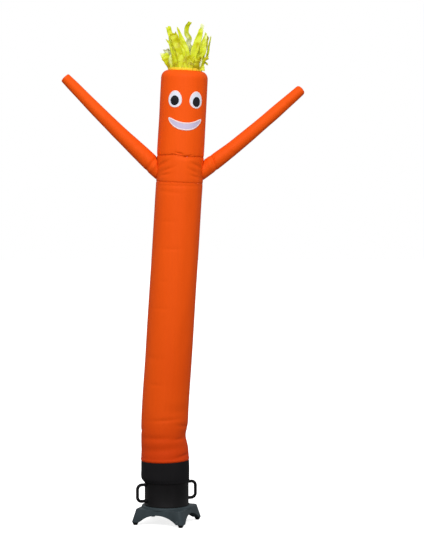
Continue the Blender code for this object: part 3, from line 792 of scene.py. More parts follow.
armSetting = {
    "columns": 72, "rows": 120, "tipRows": 16, "seamAllowance": 0.03, "rootReach": 0.35,
    "gather": 0.0014, "gathers": 17, "groove": 0.0012, "backSeam": 0.0018, "slack": 0.0011,
    "tipPleat": 0.0012, "tipPleats": 9,
}
armholeSetting = {"reach": 0.30, "steps": 24, "overlap": 0.007, "deep": 0.05}
armRows = {
    "armLeftPiece": [
        # across, height, radius
        (0.0165, 2.3090, 0.0580),
        (-0.0672, 2.3816, 0.0592),
        (-0.1924, 2.5009, 0.0543),
        (-0.3356, 2.6382, 0.0475),
        (-0.4697, 2.7720, 0.0430),
        (-0.5974, 2.9030, 0.0383),
        (-0.6775, 2.9850, 0.0343),
    ],
    "armRightPiece": [
        (0.1560, 2.3045, 0.0550),
        (0.2534, 2.3701, 0.0550),
        (0.4228, 2.4955, 0.0482),
        (0.5894, 2.6317, 0.0440),
        (0.7440, 2.7645, 0.0408),
        (0.8235, 2.8341, 0.0384),
        (0.9090, 2.9095, 0.0354),
    ],
}
armWidths = {"root": 0.0535, "middle": 0.0455}  # radii that the flat size is worked out from
armTips = {"armLeftPiece": 0.010, "armRightPiece": 0.020}
armNodes = {"armLeftPiece": "arm_left", "armRightPiece": "arm_right"}
armCreases = [
    # arm, distance from the root, turn (deg, 0 is the front), slope (m per radian), depth, tall, wide (deg)
    ("armLeftPiece", 0.152, 0, 0.004, 0.0100, 0.010, 75),
    ("armLeftPiece", 0.126, 0, 0.000, -0.0050, 0.012, 60),
    ("armLeftPiece", 0.190, -24, 0.040, 0.0036, 0.010, 44),
    ("armLeftPiece", 0.118, 24, 0.020, 0.0034, 0.010, 40),
    ("armLeftPiece", 0.300, 30, -0.020, 0.0022, 0.014, 50),
    ("armLeftPiece", 0.440, -20, 0.020, 0.0018, 0.012, 40),
    ("armLeftPiece", 0.560, -10, 0.025, 0.0020, 0.014, 50),
    ("armLeftPiece", 0.760, 20, -0.020, 0.0018, 0.014, 50),
    ("armRightPiece", 0.195, 0, -0.010, 0.0100, 0.010, 75),
    ("armRightPiece", 0.168, 0, -0.010, -0.0050, 0.012, 60),
    ("armRightPiece", 0.128, -10, -0.020, 0.0036, 0.010, 40),
    ("armRightPiece", 0.205, -20, -0.045, 0.0034, 0.010, 40),
    ("armRightPiece", 0.330, 20, 0.020, 0.0022, 0.014, 50),
    ("armRightPiece", 0.480, -16, -0.020, 0.0018, 0.012, 40),
    ("armRightPiece", 0.640, 0, -0.022, 0.0020, 0.014, 50),
    ("armRightPiece", 0.820, 10, 0.018, 0.0016, 0.014, 50),
]


def armTrack(name):
    # distance along the arm, with across, height and radius there
    track, along = [], 0.0
    rows = armRows[name]
    for k, (across, height, radius) in enumerate(rows):
        if k:
            along += math.hypot(across - rows[k - 1][0], height - rows[k - 1][1])
        track.append((along, blowerSpot["x"] + across, height + clothLift, radius))
    return track


armTracks = {name: armTrack(name) for name in armRows}


def insideTube(spot, margin=0.0):
    height = min(max(spot.z - clothLift, seams["hem"]), seams["crownTop"])
    local = tubeFrame(height).inverted() @ spot
    return math.hypot(local.x, local.y) < tubeRadius(height) - margin


def armSpot(name, along, turn, plain=False):
    track = armTracks[name]
    end = track[-1][0]
    across, height, radius = smoothRow(track, min(along, end))
    ahead = smoothRow(track, min(along + 0.02, end))
    behind = smoothRow(track, max(min(along, end) - 0.02, 0))
    heading = Vector((ahead[0] - behind[0], 0, ahead[1] - behind[1])).normalized()
    front = Vector((0, -1, 0))
    side = heading.cross(front)
    angle = math.radians(turn)
    if not plain:
        for arm, spotAlong, creaseTurn, slope, depth, tall, wide in armCreases:
            away = wrapped(turn - creaseTurn)
            rise = along - spotAlong - slope * math.radians(away)
            if arm == name and abs(away) < 2.6 * wide and abs(rise) < 3 * tall:
                radius -= depth * math.exp(-((rise / tall) ** 2) - (away / wide) ** 2)
        ring = Vector((math.cos(angle), math.sin(angle), along * 5 + (3 if name == "armLeftPiece" else 8)))
        radius -= armSetting["slack"] * noise.noise(ring * 1.7)
        seamAway = abs(wrapped(turn - 180))  # the seam along the back of the arm
        radius -= armSetting["backSeam"] * math.exp(-seamAway / 5.0) * (1 + 0.5 * math.sin(along * 320))
    return Vector((across, 0, height)) + (front * math.cos(angle) + side * math.sin(angle)) * radius


def armRoot(name, turn):
    # where this line of the arm meets the chest, found by halving
    low, high = 0.0, armSetting["rootReach"]
    for _ in range(26):
        middle = (low + high) / 2
        if insideTube(armSpot(name, middle, turn, plain=True)):
            low = middle
        else:
            high = middle
    return high


def openArmholes(bm):
    # cuts the chest's cloth away inside each arm
    s = armholeSetting
    gone = []
    for face in bm.faces:
        middle = face.calc_center_median()
        for track in armTracks.values():
            nearest = math.inf
            for k in range(s["steps"]):
                across, height, radius = smoothRow(track, s["reach"] * k / (s["steps"] - 1))
                nearest = min(nearest, (middle - Vector((across, 0, height))).length - radius)
            if nearest < -s["overlap"] and abs(middle.y) < s["deep"]:
                gone.append(face)
                break
    bmesh.ops.delete(bm, geom=gone, context="FACES")


def buildArm(name):
    columns, rows = armSetting["columns"], armSetting["rows"]
    tip = armTips[name]
    end = armTracks[name][-1][0]
    roots = [armRoot(name, 360 * k / columns - 180) for k in range(columns + 1)]
    tipRows = armSetting["tipRows"]
    bodyRows = rows - tipRows

    def place(u, v):
        column, row = round(u * columns), round(v * rows)
        turn = 360 * column / columns - 180
        root = roots[column]
        if row <= bodyRows:
            t = row / bodyRows
            along = root + (end - tip - root) * (0.85 * t + 0.15 * t * t)
            spot = armSpot(name, along, turn)
            wander = 2 * noise.noise(Vector((turn / 40, 2, 1)))
            gather = 0.5 + 0.5 * math.sin(math.radians(turn) * armSetting["gathers"] + wander)
            away = along - root
            draw = armSetting["gather"] * gather + armSetting["groove"] * math.exp(-away / 0.004)
            draw *= math.exp(-away / 0.02)
            centre = smoothRow(armTracks[name], along)
            inward = (Vector((centre[0], 0, centre[1])) - spot).normalized()
            return spot + inward * draw
        t = (row - bodyRows) / tipRows  # over the rounded edge, then in to the middle of the end
        bend = min(t / 0.5, 1.0) * math.pi / 2
        rim = armSpot(name, end, turn)
        centreRow = smoothRow(armTracks[name], end)
        centre = Vector((centreRow[0], 0, centreRow[1]))
        before = smoothRow(armTracks[name], end - 0.02)
        heading = (centre - Vector((before[0], 0, before[1]))).normalized()
        outward = rim - centre
        outward -= heading * outward.dot(heading)
        radius = outward.length
        outward.normalize()
        if t <= 0.5:
            ahead, beside = tip * (math.sin(bend) - 1), radius + tip * (math.cos(bend) - 1)
            return centre + heading * ahead + outward * beside
        share = (t - 0.5) / 0.5
        pleat = armSetting["tipPleat"] * math.sin(math.radians(turn) * armSetting["tipPleats"])
        pleat *= share * (1 - share) * 4
        return centre + heading * (0.002 * share + pleat) + outward * (radius - tip) * (1 - share)

    around = math.tau * armWidths["middle"]
    length = end - min(roots)
    bm = clothGrid(columns, rows, (around, length), place, True)
    piece = finishPiece(bm, name, "orangeNylon")
    giveWall(piece, clothWall)
    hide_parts(armNodes[name])


# Stitches: short threads laid along a line that place gives


def buildStitches(name, lines, thread, material):
    bm = bmesh.new()
    bm.loops.layers.uv.new("clothUV")
    for points in lines:
        for first, second in zip(points, points[1:]):
            run = second - first
            middle = (first + second) / 2
            turnTo = run.to_track_quat("Z", "Y").to_matrix().to_4x4()
            bmesh.ops.create_cone(
                bm, cap_ends=True, segments=5, radius1=thread["radius"], radius2=thread["radius"] * 0.6,
                depth=run.length * thread["share"], matrix=Matrix.Translation(middle) @ turnTo,
            )
    return finishPiece(bm, name, material)


seamThread = {
    "radius": 0.00055, "share": 0.72, "pitch": 0.0052, "ring": 0.153, "away": 0.0048, "armCount": 66,
    "hemHeight": 0.019, "armholeAway": 0.007,
}


def buildSeamStitches():
    for name, height, sides, material, slot in (
        ("bandStitches", seams["band"], (1,), "orangeThread", "orange_cloth"),
        ("bandBlackStitches", seams["band"], (-1,), "blackThread", "black_cloth"),
        ("underarmStitches", seams["underarm"], (1, -1), "orangeThread", "orange_cloth"),
        ("shoulderStitches", seams["shoulder"], (1, -1), "orangeThread", "orange_cloth"),
        ("hemStitches", seams["hem"] + seamThread["hemHeight"], (0,), "blackThread", "black_cloth"),
    ):
        count = round(math.tau * seamThread["ring"] / seamThread["pitch"])
        lines = []
        for side in sides:
            level = height + side * seamThread["away"]
            lines.append([onTube(360 * k / count, level, 0.0002) for k in range(count + 1)])
        buildStitches(name, lines, seamThread, material)


def buildArmStitches():
    lines = []
    for name in armRows:
        count = seamThread["armCount"]
        turns = [360 * k / count - 180 for k in range(count + 1)]
        away = seamThread["armholeAway"]
        lines.append([armSpot(name, armRoot(name, turn) + away, turn) for turn in turns])
    buildStitches("armholeStitches", lines, seamThread, "orangeThread")


# The face

eyeSettings = {
    # turn, height, half width, half height, how much narrower the top is
    "eyeLeft": (-20.8, 2.832, 0.0475, 0.0560, 0.10),
    "eyeRight": (32.8, 2.832, 0.0480, 0.0560, 0.10),
}
pupilSettings = {
    "pupilLeft": (-21.1, 2.823, 0.0290, 0.0320, 0.03),
    "pupilRight": (33.4, 2.820, 0.0280, 0.0325, 0.03),
}
faceNodes = {
    "eyeLeft": "eye_left", "eyeRight": "eye_right", "pupilLeft": "pupil_left", "pupilRight": "pupil_right",
}
smile = {
    "turn": 8.0, "spread": 44.0, "cornerHeight": 2.703, "lowHeight": 2.654, "halfThick": 0.0255,
    "round": 4.2, "bend": 2.1, "flatTall": 0.102, "flatArea": 0.0118,
}
appliqueWall, appliqueDome = 0.0008, 0.0012
appliqueLift, pupilLift = 0.0012, 0.0032  # off the head's cloth
eyeGrid, smileGrid = (40, 40), (110, 12)
borderSetting = {"wide": 0.0078, "tall": 0.0013, "sunk": 0.0004, "wall": 0.0005}


def onFace(across, height, turnMiddle, lift):
    # across is in metres round the cloth from the middle turn
    turn = turnMiddle + math.degrees(across / tubeRadius(height))
    return onTube(turn, height, lift)


def ovalOutline(setting, angle):
    turn, height, halfWide, halfTall, narrow = setting
    up = math.sin(angle)
    return Vector((halfWide * math.cos(angle) * (1 - narrow * up), halfTall * up))


def smileOutline(angle):
    # round the crescent from the right corner over the top edge
    radius = tubeRadius(smile["lowHeight"])
    u = math.cos(angle)
    bend = abs(u) ** smile["bend"]
    thick = smile["halfThick"] * max(1 - abs(u) ** smile["round"], 0.0) ** 0.5
    middle = (smile["cornerHeight"] - smile["lowHeight"]) * bend
    side = 1 if math.sin(angle) >= 0 else -1
    return Vector((math.radians(smile["spread"]) * radius * u, middle + side * thick))


def buildBorder(name, outline, turnMiddle, height, lift, material, count=160):
    # satin stitching over the cut edge: a low round bead along the outline
    spots = [outline(math.tau * k / count) for k in range(count)]
    lengths = [0.0]
    for k in range(count):
        lengths.append(lengths[-1] + (spots[(k + 1) % count] - spots[k]).length)
    across = 6

    def place(u, v):
        k = round(u * count)
        spot = spots[k % count]
        ahead, behind = spots[(k + 1) % count], spots[(k - 1) % count]
        run = (ahead - behind).normalized()
        outward = Vector((run.y, -run.x))
        swing = math.pi * v
        spot = spot - outward * (1 + math.cos(swing)) * borderSetting["wide"] / 2
        bead = borderSetting["tall"] * math.sin(swing) - borderSetting["sunk"]
        return onFace(spot.x, height + spot.y, turnMiddle, lift + bead)

    bm = clothGrid(count, across, (lengths[-1], borderSetting["wide"]), place, True)
    piece = finishPiece(bm, name, material)
    giveWall(piece, borderSetting["wall"])


def buildFace():
    for name, setting in (*eyeSettings.items(), *pupilSettings.items()):
        isPupil = name.startswith("pupil")
        turn, height, halfWide, halfTall, narrow = setting
        lift = pupilLift if isPupil else appliqueLift

        def place(u, v):
            x, y = 2 * u - 1, 2 * v - 1
            across = x * math.sqrt(1 - y * y / 2)
            up = y * math.sqrt(1 - x * x / 2)
            dome = appliqueDome * (1 - across**2 - up**2)
            return onFace(halfWide * across * (1 - narrow * up), height + halfTall * up, turn, lift + dome)

        colour, slot = ("black", "pupil_cloth") if isPupil else ("white", "white_cloth")
        bm = clothGrid(*eyeGrid, (2 * halfWide, 2 * halfTall), place, False)
        piece = finishPiece(bm, name, colour + "Satin")
        giveWall(piece, appliqueWall, 1)
        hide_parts(faceNodes[name])

        def outline(angle):
            return ovalOutline(setting, angle)

        buildBorder(name + "Border", outline, turn, height, lift, colour + "Thread")

    def placeSmile(u, v):
        x, y = 2 * u - 1, 2 * v - 1
        bend = abs(x) ** smile["bend"]
        thick = smile["halfThick"] * max(1 - abs(x) ** smile["round"], 0.004) ** 0.5
        height = smile["lowHeight"] + (smile["cornerHeight"] - smile["lowHeight"]) * bend + y * thick
        return onTube(smile["turn"] + x * smile["spread"], height, appliqueLift)

    wide = 2 * math.radians(smile["spread"]) * tubeRadius(smile["lowHeight"])
    bm = clothGrid(*smileGrid, (wide, 2 * smile["halfThick"]), placeSmile, False)
    piece = finishPiece(bm, "smilePiece", "lavenderSatin")
    giveWall(piece, appliqueWall, 1)
    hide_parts("mouth")
    buildBorder(
        "smileBorder", smileOutline, smile["turn"], smile["lowHeight"], appliqueLift,
        "whiteThread", 260,
    )
    print("stage: face")


# The hair: a band round the vent and cut ribbons inside it

crown = tubeFrame(seams["crownTop"])
headerSetting = {"tall": 0.018, "columns": 150, "rows": 10, "bulge": 0.0016, "pleat": 0.0011, "pleats": 29}
ribbonSetting = {
    "rim": 0.1085, "wall": 0.0006, "foot": 0.002, "columns": 8, "steps": 40,
    "turnOut": 0.8,  # how far a ribbon turns its flat side to the front or back above its foot
    "ragged": 0.10, "cup": 0.10, "crumple": 0.008, "fineCrumple": 0.0022, "fullCrumple": 0.24,
    "cutFrom": 0.9, "cutSlant": 0.012, "toneSpread": 0.25,
}

# Each ribbon: the side that its foot is on, how far it strays towards the back, its twist (deg), its
# widths and then its tones (painted shade to painted light) at foot, middle and tip, and its line in the
# plane of the face (across, up) from the middle of the vent
ribbonRows = [
    ("front", 0.02, 14, (0.036, 0.034, 0.033), (0.35, 0.5, 0.52), (
        (-0.048, 0), (-0.059, 0.109), (-0.081, 0.193), (-0.098, 0.244), (-0.111, 0.288),
    )),
    ("front", -0.01, -6, (0.06, 0.064, 0.046), (0.4, 0.4, 0.22), (
        (-0.008, 0), (-0.025, 0.109), (-0.058, 0.189), (-0.079, 0.243),
    )),
    ("front", 0.01, 24, (0.032, 0.026, 0.005), (0.4, 0.52, 0.5), (
        (-0.067, 0), (-0.077, 0.116), (-0.099, 0.172), (-0.126, 0.205),
    )),
    ("front", -0.008, 8, (0.052, 0.044, 0.009), (0.4, 0.56, 0.45), (
        (0.023, 0), (0.008, 0.116), (-0.021, 0.203), (-0.049, 0.281),
    )),
    ("back", -0.09, 16, (0.034, 0.036, 0.026), (0.75, 1, 0.4), (
        (0.024, 0), (0.03, 0.089), (0.044, 0.141), (0.023, 0.183), (0.03, 0.217), (0.012, 0.252),
        (0.016, 0.294), (0.035, 0.322),
    )),
    ("front", 0.02, 10, (0.044, 0.05, 0.02), (0.42, 0.56, 0.55), (
        (0.044, 0), (0.059, 0.102), (0.077, 0.165), (0.093, 0.213), (0.104, 0.252), (0.102, 0.277),
    )),
    ("back", -0.01, 10, (0.02, 0.016, 0.026), (0.4, 0.6, 1), (
        (0.097, 0), (0.1, 0.124), (0.105, 0.211), (0.112, 0.266), (0.118, 0.312),
    )),
    ("front", -0.01, 12, (0.044, 0.046, 0.016), (0.4, 0.6, 0.85), (
        (0.084, 0), (0.101, 0.081), (0.119, 0.119), (0.123, 0.165), (0.133, 0.206), (0.142, 0.246),
    )),
    ("front", 0.004, 16, (0.026, 0.03, 0.03), (0.5, 0.42, 0.06), (
        (0.099, 0), (0.119, 0.095), (0.137, 0.157), (0.143, 0.199), (0.151, 0.225),
    )),
    ("back", -0.03, 20, (0.024, 0.024, 0.018), (0.4, 0.22, 0.08), (
        (0.092, 0), (0.101, 0.103), (0.111, 0.158), (0.115, 0.2),
    )),
    ("back", -0.05, 20, (0.018, 0.016, 0.006), (0.5, 0.6, 0.7), (
        (0.107, 0), (0.15, 0.103), (0.161, 0.165), (0.175, 0.228),
    )),
    ("front", 0.006, 6, (0.032, 0.056, 0.05), (0.28, 0.38, 0.95), (
        (-0.1, 0), (-0.118, 0.061), (-0.131, 0.095), (-0.14, 0.119),
    )),
    ("back", -0.03, 10, (0.034, 0.044, 0.04), (0.5, 0.9, 1), (
        (-0.081, 0), (-0.096, 0.069), (-0.11, 0.11), (-0.125, 0.145),
    )),
    ("front", -0.02, 10, (0.05, 0.076, 0.05), (0.6, 0.98, 0.85), (
        (-0.081, 0), (-0.076, 0.064), (-0.048, 0.09), (-0.012, 0.111),
    )),
    ("front", -0.024, 0, (0.05, 0.044, 0.02), (0, 0.04, 0.2), (
        (-0.067, 0), (-0.048, 0.038), (-0.023, 0.047),
    )),
    ("front", -0.014, 8, (0.074, 0.072, 0.05), (0.22, 0.28, 0.4), (
        (0.013, 0), (0.026, 0.053), (0.05, 0.081),
    )),
    ("front", -0.01, -8, (0.08, 0.07, 0.044), (0.12, 0.25, 0.45), (
        (0.063, 0), (0.059, 0.053), (0.046, 0.085),
    )),
    ("front", -0.012, -10, (0.06, 0.06, 0.034), (0.25, 0.32, 0.65), (
        (0.093, 0), (0.087, 0.053), (0.068, 0.085),
    )),
    ("front", 0.006, 20, (0.02, 0.024, 0.024), (0.6, 0.2, 0.3), (
        (0.095, 0), (0.126, 0.061), (0.143, 0.08), (0.16, 0.083),
    )),
    ("front", 0.02, 30, (0.02, 0.016, 0.014), (0.6, 0.5, 0.6), (
        (0.101, 0), (0.123, 0.051), (0.139, 0.051), (0.152, 0.04),
    )),
    ("front", -0.006, 0, (0.026, 0.032, 0.03), (0.5, 0.58, 0.6), (
        (0.098, 0), (0.107, 0.036), (0.116, 0.022), (0.118, -0.006),
    )),
    ("front", -0.016, 12, (0.034, 0.038, 0.022), (0.7, 0.98, 0.8), (
        (0.084, 0), (0.097, 0.053), (0.111, 0.072),
    )),
    ("front", -0.02, 12, (0.024, 0.026, 0.02), (0.5, 0.3, 0.15), (
        (0.072, 0), (0.09, 0.064), (0.107, 0.087),
    )),
    ("front", -0.014, -10, (0.06, 0.056, 0.03), (0.35, 0.45, 0.42), (
        (-0.037, 0), (-0.03, 0.064), (-0.034, 0.116), (-0.045, 0.165),
    )),
    ("back", 0.02, 20, (0.04, 0.034, 0.02), (0.4, 0.6, 0.8), (
        (-0.094, 0), (-0.1, 0.048), (-0.092, 0.088), (-0.076, 0.105),
    )),
    ("back", 0.045, -15, (0.04, 0.036, 0.026), (0.4, 0.5, 0.5), (
        (-0.07, 0), (-0.072, 0.086), (-0.086, 0.162), (-0.098, 0.244),
    )),
    ("back", 0.05, 14, (0.042, 0.04, 0.028), (0.4, 0.45, 0.35), (
        (-0.034, 0), (-0.032, 0.086), (-0.054, 0.162), (-0.074, 0.215),
    )),
    ("back", 0.055, -12, (0.042, 0.038, 0.016), (0.4, 0.55, 0.5), (
        (0.004, 0), (0.004, 0.076), (-0.012, 0.143), (-0.036, 0.221),
    )),
    ("back", 0.06, 18, (0.044, 0.036, 0.02), (0.45, 0.6, 0.8), (
        (0.034, 0), (0.036, 0.048), (0.026, 0.091), (0.014, 0.114),
    )),
    ("back", 0.05, -14, (0.04, 0.034, 0.022), (0.4, 0.5, 0.5), (
        (0.07, 0), (0.078, 0.076), (0.086, 0.152), (0.098, 0.225),
    )),
    ("back", 0.03, 30, (0.03, 0.026, 0.018), (0.35, 0.45, 0.4), (
        (-0.104, 0), (-0.112, 0.048), (-0.132, 0.08),
    )),
    ("back", 0.03, 20, (0.034, 0.03, 0.018), (0.35, 0.5, 0.4), (
        (0.094, 0), (0.104, 0.057), (0.122, 0.114), (0.128, 0.172),
    )),
]


def curvePoint(points, t):
    # a smooth curve through the points, t from 0 to 1
    rows = [(k / (len(points) - 1), *point) for k, point in enumerate(points)]
    return Vector(smoothRow(rows, min(max(t, 0.0), 1.0)))


def ribbonTable(values, t):
    first, middle, last = values
    return first + (middle - first) * t * 2 if t < 0.5 else middle + (last - middle) * (t * 2 - 1)


def buildRibbons():
    s = ribbonSetting
    bm = bmesh.new()
    uvLayer = bm.loops.layers.uv.new("clothUV")
    toneLayer = bm.verts.layers.float.new("paintedLightTone")
    area, longest = 0.0, 0.0
    for index, (side, stray, twist, widths, tones, line) in enumerate(ribbonRows):
        sign = -1 if side == "front" else 1
        footAcross = line[0][0]
        depth = math.sqrt(max(s["rim"] ** 2 - footAcross**2, 0.0004))
        points = [crown @ Vector((footAcross, sign * depth, s["foot"]))]
        for k, (across, up) in enumerate(line[1:], 1):
            share = k / (len(line) - 1)
            away = Vector((across, sign * depth * (1 - 0.12 * share) + stray * share, up + s["foot"]))
            points.append(crown.translation + away)
        length = sum((Vector(b) - Vector(a)).length for a, b in zip(points, points[1:]))
        longest = max(longest, length)
        slackness = min(length / s["fullCrumple"], 1.0)
        footAngle = math.atan2(sign * depth, footAcross)
        alongRim = Vector((-math.sin(footAngle), math.cos(footAngle), 0))
        made = bmesh.ops.create_grid(bm, x_segments=s["columns"], y_segments=s["steps"], size=0.5)
        for vert in made["verts"]:
            u, v = vert.co.x + 0.5, vert.co.y + 0.5
            centre = curvePoint(points, v)
            heading = (curvePoint(points, v + 0.02) - curvePoint(points, v - 0.02)).normalized()
            facing = alongRim.lerp(Vector((-sign, 0, 0)), s["turnOut"] * min(v * 2, 1))
            ribbonSide = (facing - heading * facing.dot(heading)).normalized()
            ribbonSide = Matrix.Rotation(math.radians(twist) * v, 3, heading) @ ribbonSide
            normal = heading.cross(ribbonSide)
            wide = ribbonTable(widths, v)
            off = (u - 0.5) * wide
            ragged = 1 + s["ragged"] * noise.noise(Vector((v * 9, index * 3.1, 2.0 if u > 0.5 else 5.0)))
            cup = s["cup"] * wide * (1 - (2 * u - 1) ** 2) * (1 if index % 2 else -1) * min(v * 4, 1)
            crumple = s["crumple"] * noise.noise(Vector((u * 1.6, v * 7, index * 2.7)))
            crumple += s["fineCrumple"] * noise.noise(Vector((u * 5, v * 19, index * 1.3)))
            crumple *= slackness * min(v * 3, 1)
            end = 0.0
            if v > s["cutFrom"]:  # cut ends aren't square
                slant = noise.noise(Vector((u * 4, index * 1.9, 0.5)))
                end = (v - s["cutFrom"]) * 10 * s["cutSlant"] * slant
            patch = noise.noise(Vector((u * 2, v * 6, index * 4.4)))
            # the tone paints shade and light coming through onto the ribbon, spread at random
            paintedLightTone = ribbonTable(tones, v) + s["toneSpread"] * patch
            vert[toneLayer] = min(max(paintedLightTone, 0.0), 1.0)
            vert.co = centre + ribbonSide * off * ragged + normal * (cup + crumple) + heading * end
        for face in {face for vert in made["verts"] for face in vert.link_faces}:
            for loop in face.loops:
                loop[uvLayer].uv = (loop.vert.co.x + loop.vert.co.y, loop.vert.co.z)
        area += length * sum(widths) / 3
    piece = finishPiece(bm, "hairRibbons", "limeRibbon")
    giveWall(piece, s["wall"], 0)
    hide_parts("hair_comb")
    print("stage: hair,", len(ribbonRows), "ribbons, area", round(area, 4))


def buildHairBand():
    tall, bulge = headerSetting["tall"], headerSetting["bulge"]

    def place(u, v):
        turn = 360 * u - 180
        angle = math.radians(turn)
        folds = angle * headerSetting["pleats"] + 3 * roundNoise(turn, 2, 4)
        pleat = headerSetting["pleat"] * math.sin(folds)
        radius = ventRadius + bulge * math.sin(math.pi * v) + pleat * v
        rise = tall * v + 0.0015 * roundNoise(turn, 3, 1) * v
        return crown @ Vector((radius * math.sin(angle), -radius * math.cos(angle), rise - 0.002))

    around = math.tau * ventRadius
    bm = clothGrid(headerSetting["columns"], headerSetting["rows"], (around, tall), place, True)
    piece = finishPiece(bm, "hairBand", "goldNylon")
    giveWall(piece, clothWall)
    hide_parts("hair_header")


# The blower

drumSetting = {
    "radius": 0.1485, "wall": 0.004, "rim": 0.1500, "top": 0.365, "seatTop": 0.117, "beadHeight": 0.312,
    "beadHalf": 0.005, "steps": 128, "softEdge": 0.0009,
}
plinthSetting = {
    "bottomHalf": 0.1860, "topHalf": 0.1631, "top": 0.105, "legBottom": 0.0167, "cornerRound": 0.024,
    "edgeRound": 0.006, "archRadius": 0.207, "archApex": 0.068, "hollowRadius": 0.147, "hollowTop": 0.095,
    "intakeRadius": 0.125, "steps": 128, "archSteps": 200, "boreTurn": 0.9, "softEdge": 0.0022,
    "seatRing": [  # radius, rise above the top
        (0.1625, 0.0120), (0.1660, 0.0105), (0.1680, 0.0070), (0.1690, -0.0010), (0.1690, -0.0060),
        (0.1400, -0.0060), (0.1400, 0.0120),
    ],
}
glandSetting = {
    "height": 0.165, "steps": 40, "rings": 4, "pitch": 0.0024, "firstRing": 0.0068, "ring": 0.0078,
    "neck": 0.0066, "taper": 0.0004, "flange": [(0.0045, 0), (0.0112, 0), (0.0112, 0.0045), (0.0085, 0.0058)],
    "mouth": [(0.0056, 0.0166), (0.0045, 0.0166)],
}
handleSetting = {"bar": 0.0105, "top": 0.2625, "bottom": 0.1515, "reach": 0.2140, "bend": 0.030}
blowerPlace = Matrix.Translation((blowerSpot["x"], 0, blowerSpot["lift"]))
blowerPlace @= Matrix.Rotation(blowerSpot["turn"], 4, "Z")
plinthPlace = blowerPlace @ Matrix.Rotation(math.pi / 4, 4, "Z")


def turnedSolid(profile, steps):
    bm = bmesh.new()
    verts = [bm.verts.new((radius, 0, height)) for radius, height in profile]
    edges = [bm.edges.new(pair) for pair in zip(verts, verts[1:] + verts[:1])]
    bmesh.ops.spin(
        bm, geom=verts + edges, cent=(0, 0, 0), axis=(0, 0, 1), angle=math.tau, steps=steps,
        use_merge=True, use_duplicate=False,
    )
    bmesh.ops.remove_doubles(bm, verts=bm.verts, dist=1e-6)
    bmesh.ops.recalc_face_normals(bm, faces=bm.faces)
    if bm.calc_volume(signed=True) < 0:
        bmesh.ops.reverse_faces(bm, faces=bm.faces)
    return bm


def softenEdges(piece, width, segments=2):
    bevel = piece.modifiers.new("softEdges", "BEVEL")
    bevel.width = width
    bevel.segments = segments
    bevel.limit_method = "ANGLE"
    bevel.angle_limit = math.radians(35)
    bevel.harden_normals = False


def buildDrum():
    s = drumSetting
    inside = s["radius"] - s["wall"]
    low = s["seatTop"] + 0.0003
    radius, rim, top, bead, half = s["radius"], s["rim"], s["top"], s["beadHeight"], s["beadHalf"]
    profile = [
        (rim - 0.002, top), (rim, top - 0.002), (rim, top - 0.011), (radius, top - 0.014),
        (radius, bead + half), (rim, bead + 0.002), (rim, bead - 0.002), (radius, bead - half),
        (radius, low + 0.010), (radius + 0.002, low + 0.007), (radius + 0.002, low + 0.001),
        (radius + 0.001, low), (inside, low), (inside, top - 0.008), (inside - 0.004, top - 0.008),
        (inside - 0.004, top),
    ]
    bm = turnedSolid(profile, s["steps"])
    bmesh.ops.transform(bm, matrix=blowerPlace, verts=bm.verts)
    piece = finishPiece(bm, "drumShell", "drumPlastic")
    softenEdges(piece, s["softEdge"])
    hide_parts("drum")


def cutter(bm, name):
    mesh = bpy.data.meshes.new(name)
    bm.to_mesh(mesh)
    bm.free()
    made = bpy.data.objects.new(name, mesh)
    scene.collection.objects.link(made)
    return made


def buildPlinth():
    s = plinthSetting
    bm = bmesh.new()
    made = bmesh.ops.create_cube(bm, size=2)
    for vert in made["verts"]:
        isTop = vert.co.z > 0
        half = s["topHalf"] if isTop else s["bottomHalf"]
        vert.co = Vector((vert.co.x * half, vert.co.y * half, s["top"] if isTop else s["legBottom"]))
    rounding = {"profile": 0.5, "affect": "EDGES", "material": -1}
    upright = [e for e in bm.edges if abs(e.verts[0].co.z - e.verts[1].co.z) > 0.01]
    bmesh.ops.bevel(bm, geom=upright, offset=s["cornerRound"], segments=8, **rounding)
    rim = [e for e in bm.edges if min(v.co.z for v in e.verts) > s["top"] - 1e-5]
    bmesh.ops.bevel(bm, geom=rim, offset=s["edgeRound"], segments=4, **rounding)
    piece = finishPiece(bm, "plinthShell", "plinthPlastic")

    top = s["top"]
    seat = turnedSolid([(radius, top + rise) for radius, rise in s["seatRing"]], s["steps"])
    cuts = [(cutter(seat, "seatForm"), "UNION")]
    boreTurn = Matrix.Rotation(math.radians(s["boreTurn"]), 4, "Z")  # no facet lies along an arch
    for name, radius, low, high in (
        ("hollowForm", s["hollowRadius"], -0.05, s["hollowTop"]),
        ("intakeForm", s["intakeRadius"], s["hollowTop"] - 0.02, top + 0.04),
    ):
        bore = bmesh.new()
        bmesh.ops.create_cone(
            bore, cap_ends=True, segments=s["steps"], radius1=radius, radius2=radius, depth=high - low,
            matrix=Matrix.Translation((0, 0, (low + high) / 2)) @ boreTurn,
        )
        cuts.append((cutter(bore, name), "DIFFERENCE"))
    facets = s["archSteps"]
    for name, turn in (("archFormX", 0), ("archFormY", math.pi / 2)):
        arch = bmesh.new()
        lie = Matrix.Rotation(turn, 4, "Z") @ Matrix.Rotation(math.pi / 2, 4, "X")
        lie @= Matrix.Rotation(math.pi / facets, 4, "Z")
        bmesh.ops.create_cone(
            arch, cap_ends=True, segments=facets, radius1=s["archRadius"], radius2=s["archRadius"], depth=0.5,
            matrix=Matrix.Translation((0, 0, s["archApex"] - s["archRadius"])) @ lie,
        )
        cuts.append((cutter(arch, name), "DIFFERENCE"))
    for form, operation in cuts:
        cut = piece.modifiers.new(form.name, "BOOLEAN")
        cut.operation = operation
        cut.object = form
        cut.solver = "EXACT"
    softenEdges(piece, s["softEdge"], 3)
    bpy.context.view_layer.update()
    solid = bpy.data.meshes.new_from_object(piece.evaluated_get(bpy.context.evaluated_depsgraph_get()))
    piece.modifiers.clear()
    for form, _ in cuts:
        bpy.data.objects.remove(form, do_unlink=True)
    solid.transform(plinthPlace)
    piece.data = solid
    solid.shade_smooth()
    solid.set_sharp_from_angle(angle=math.radians(40))
    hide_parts("base")


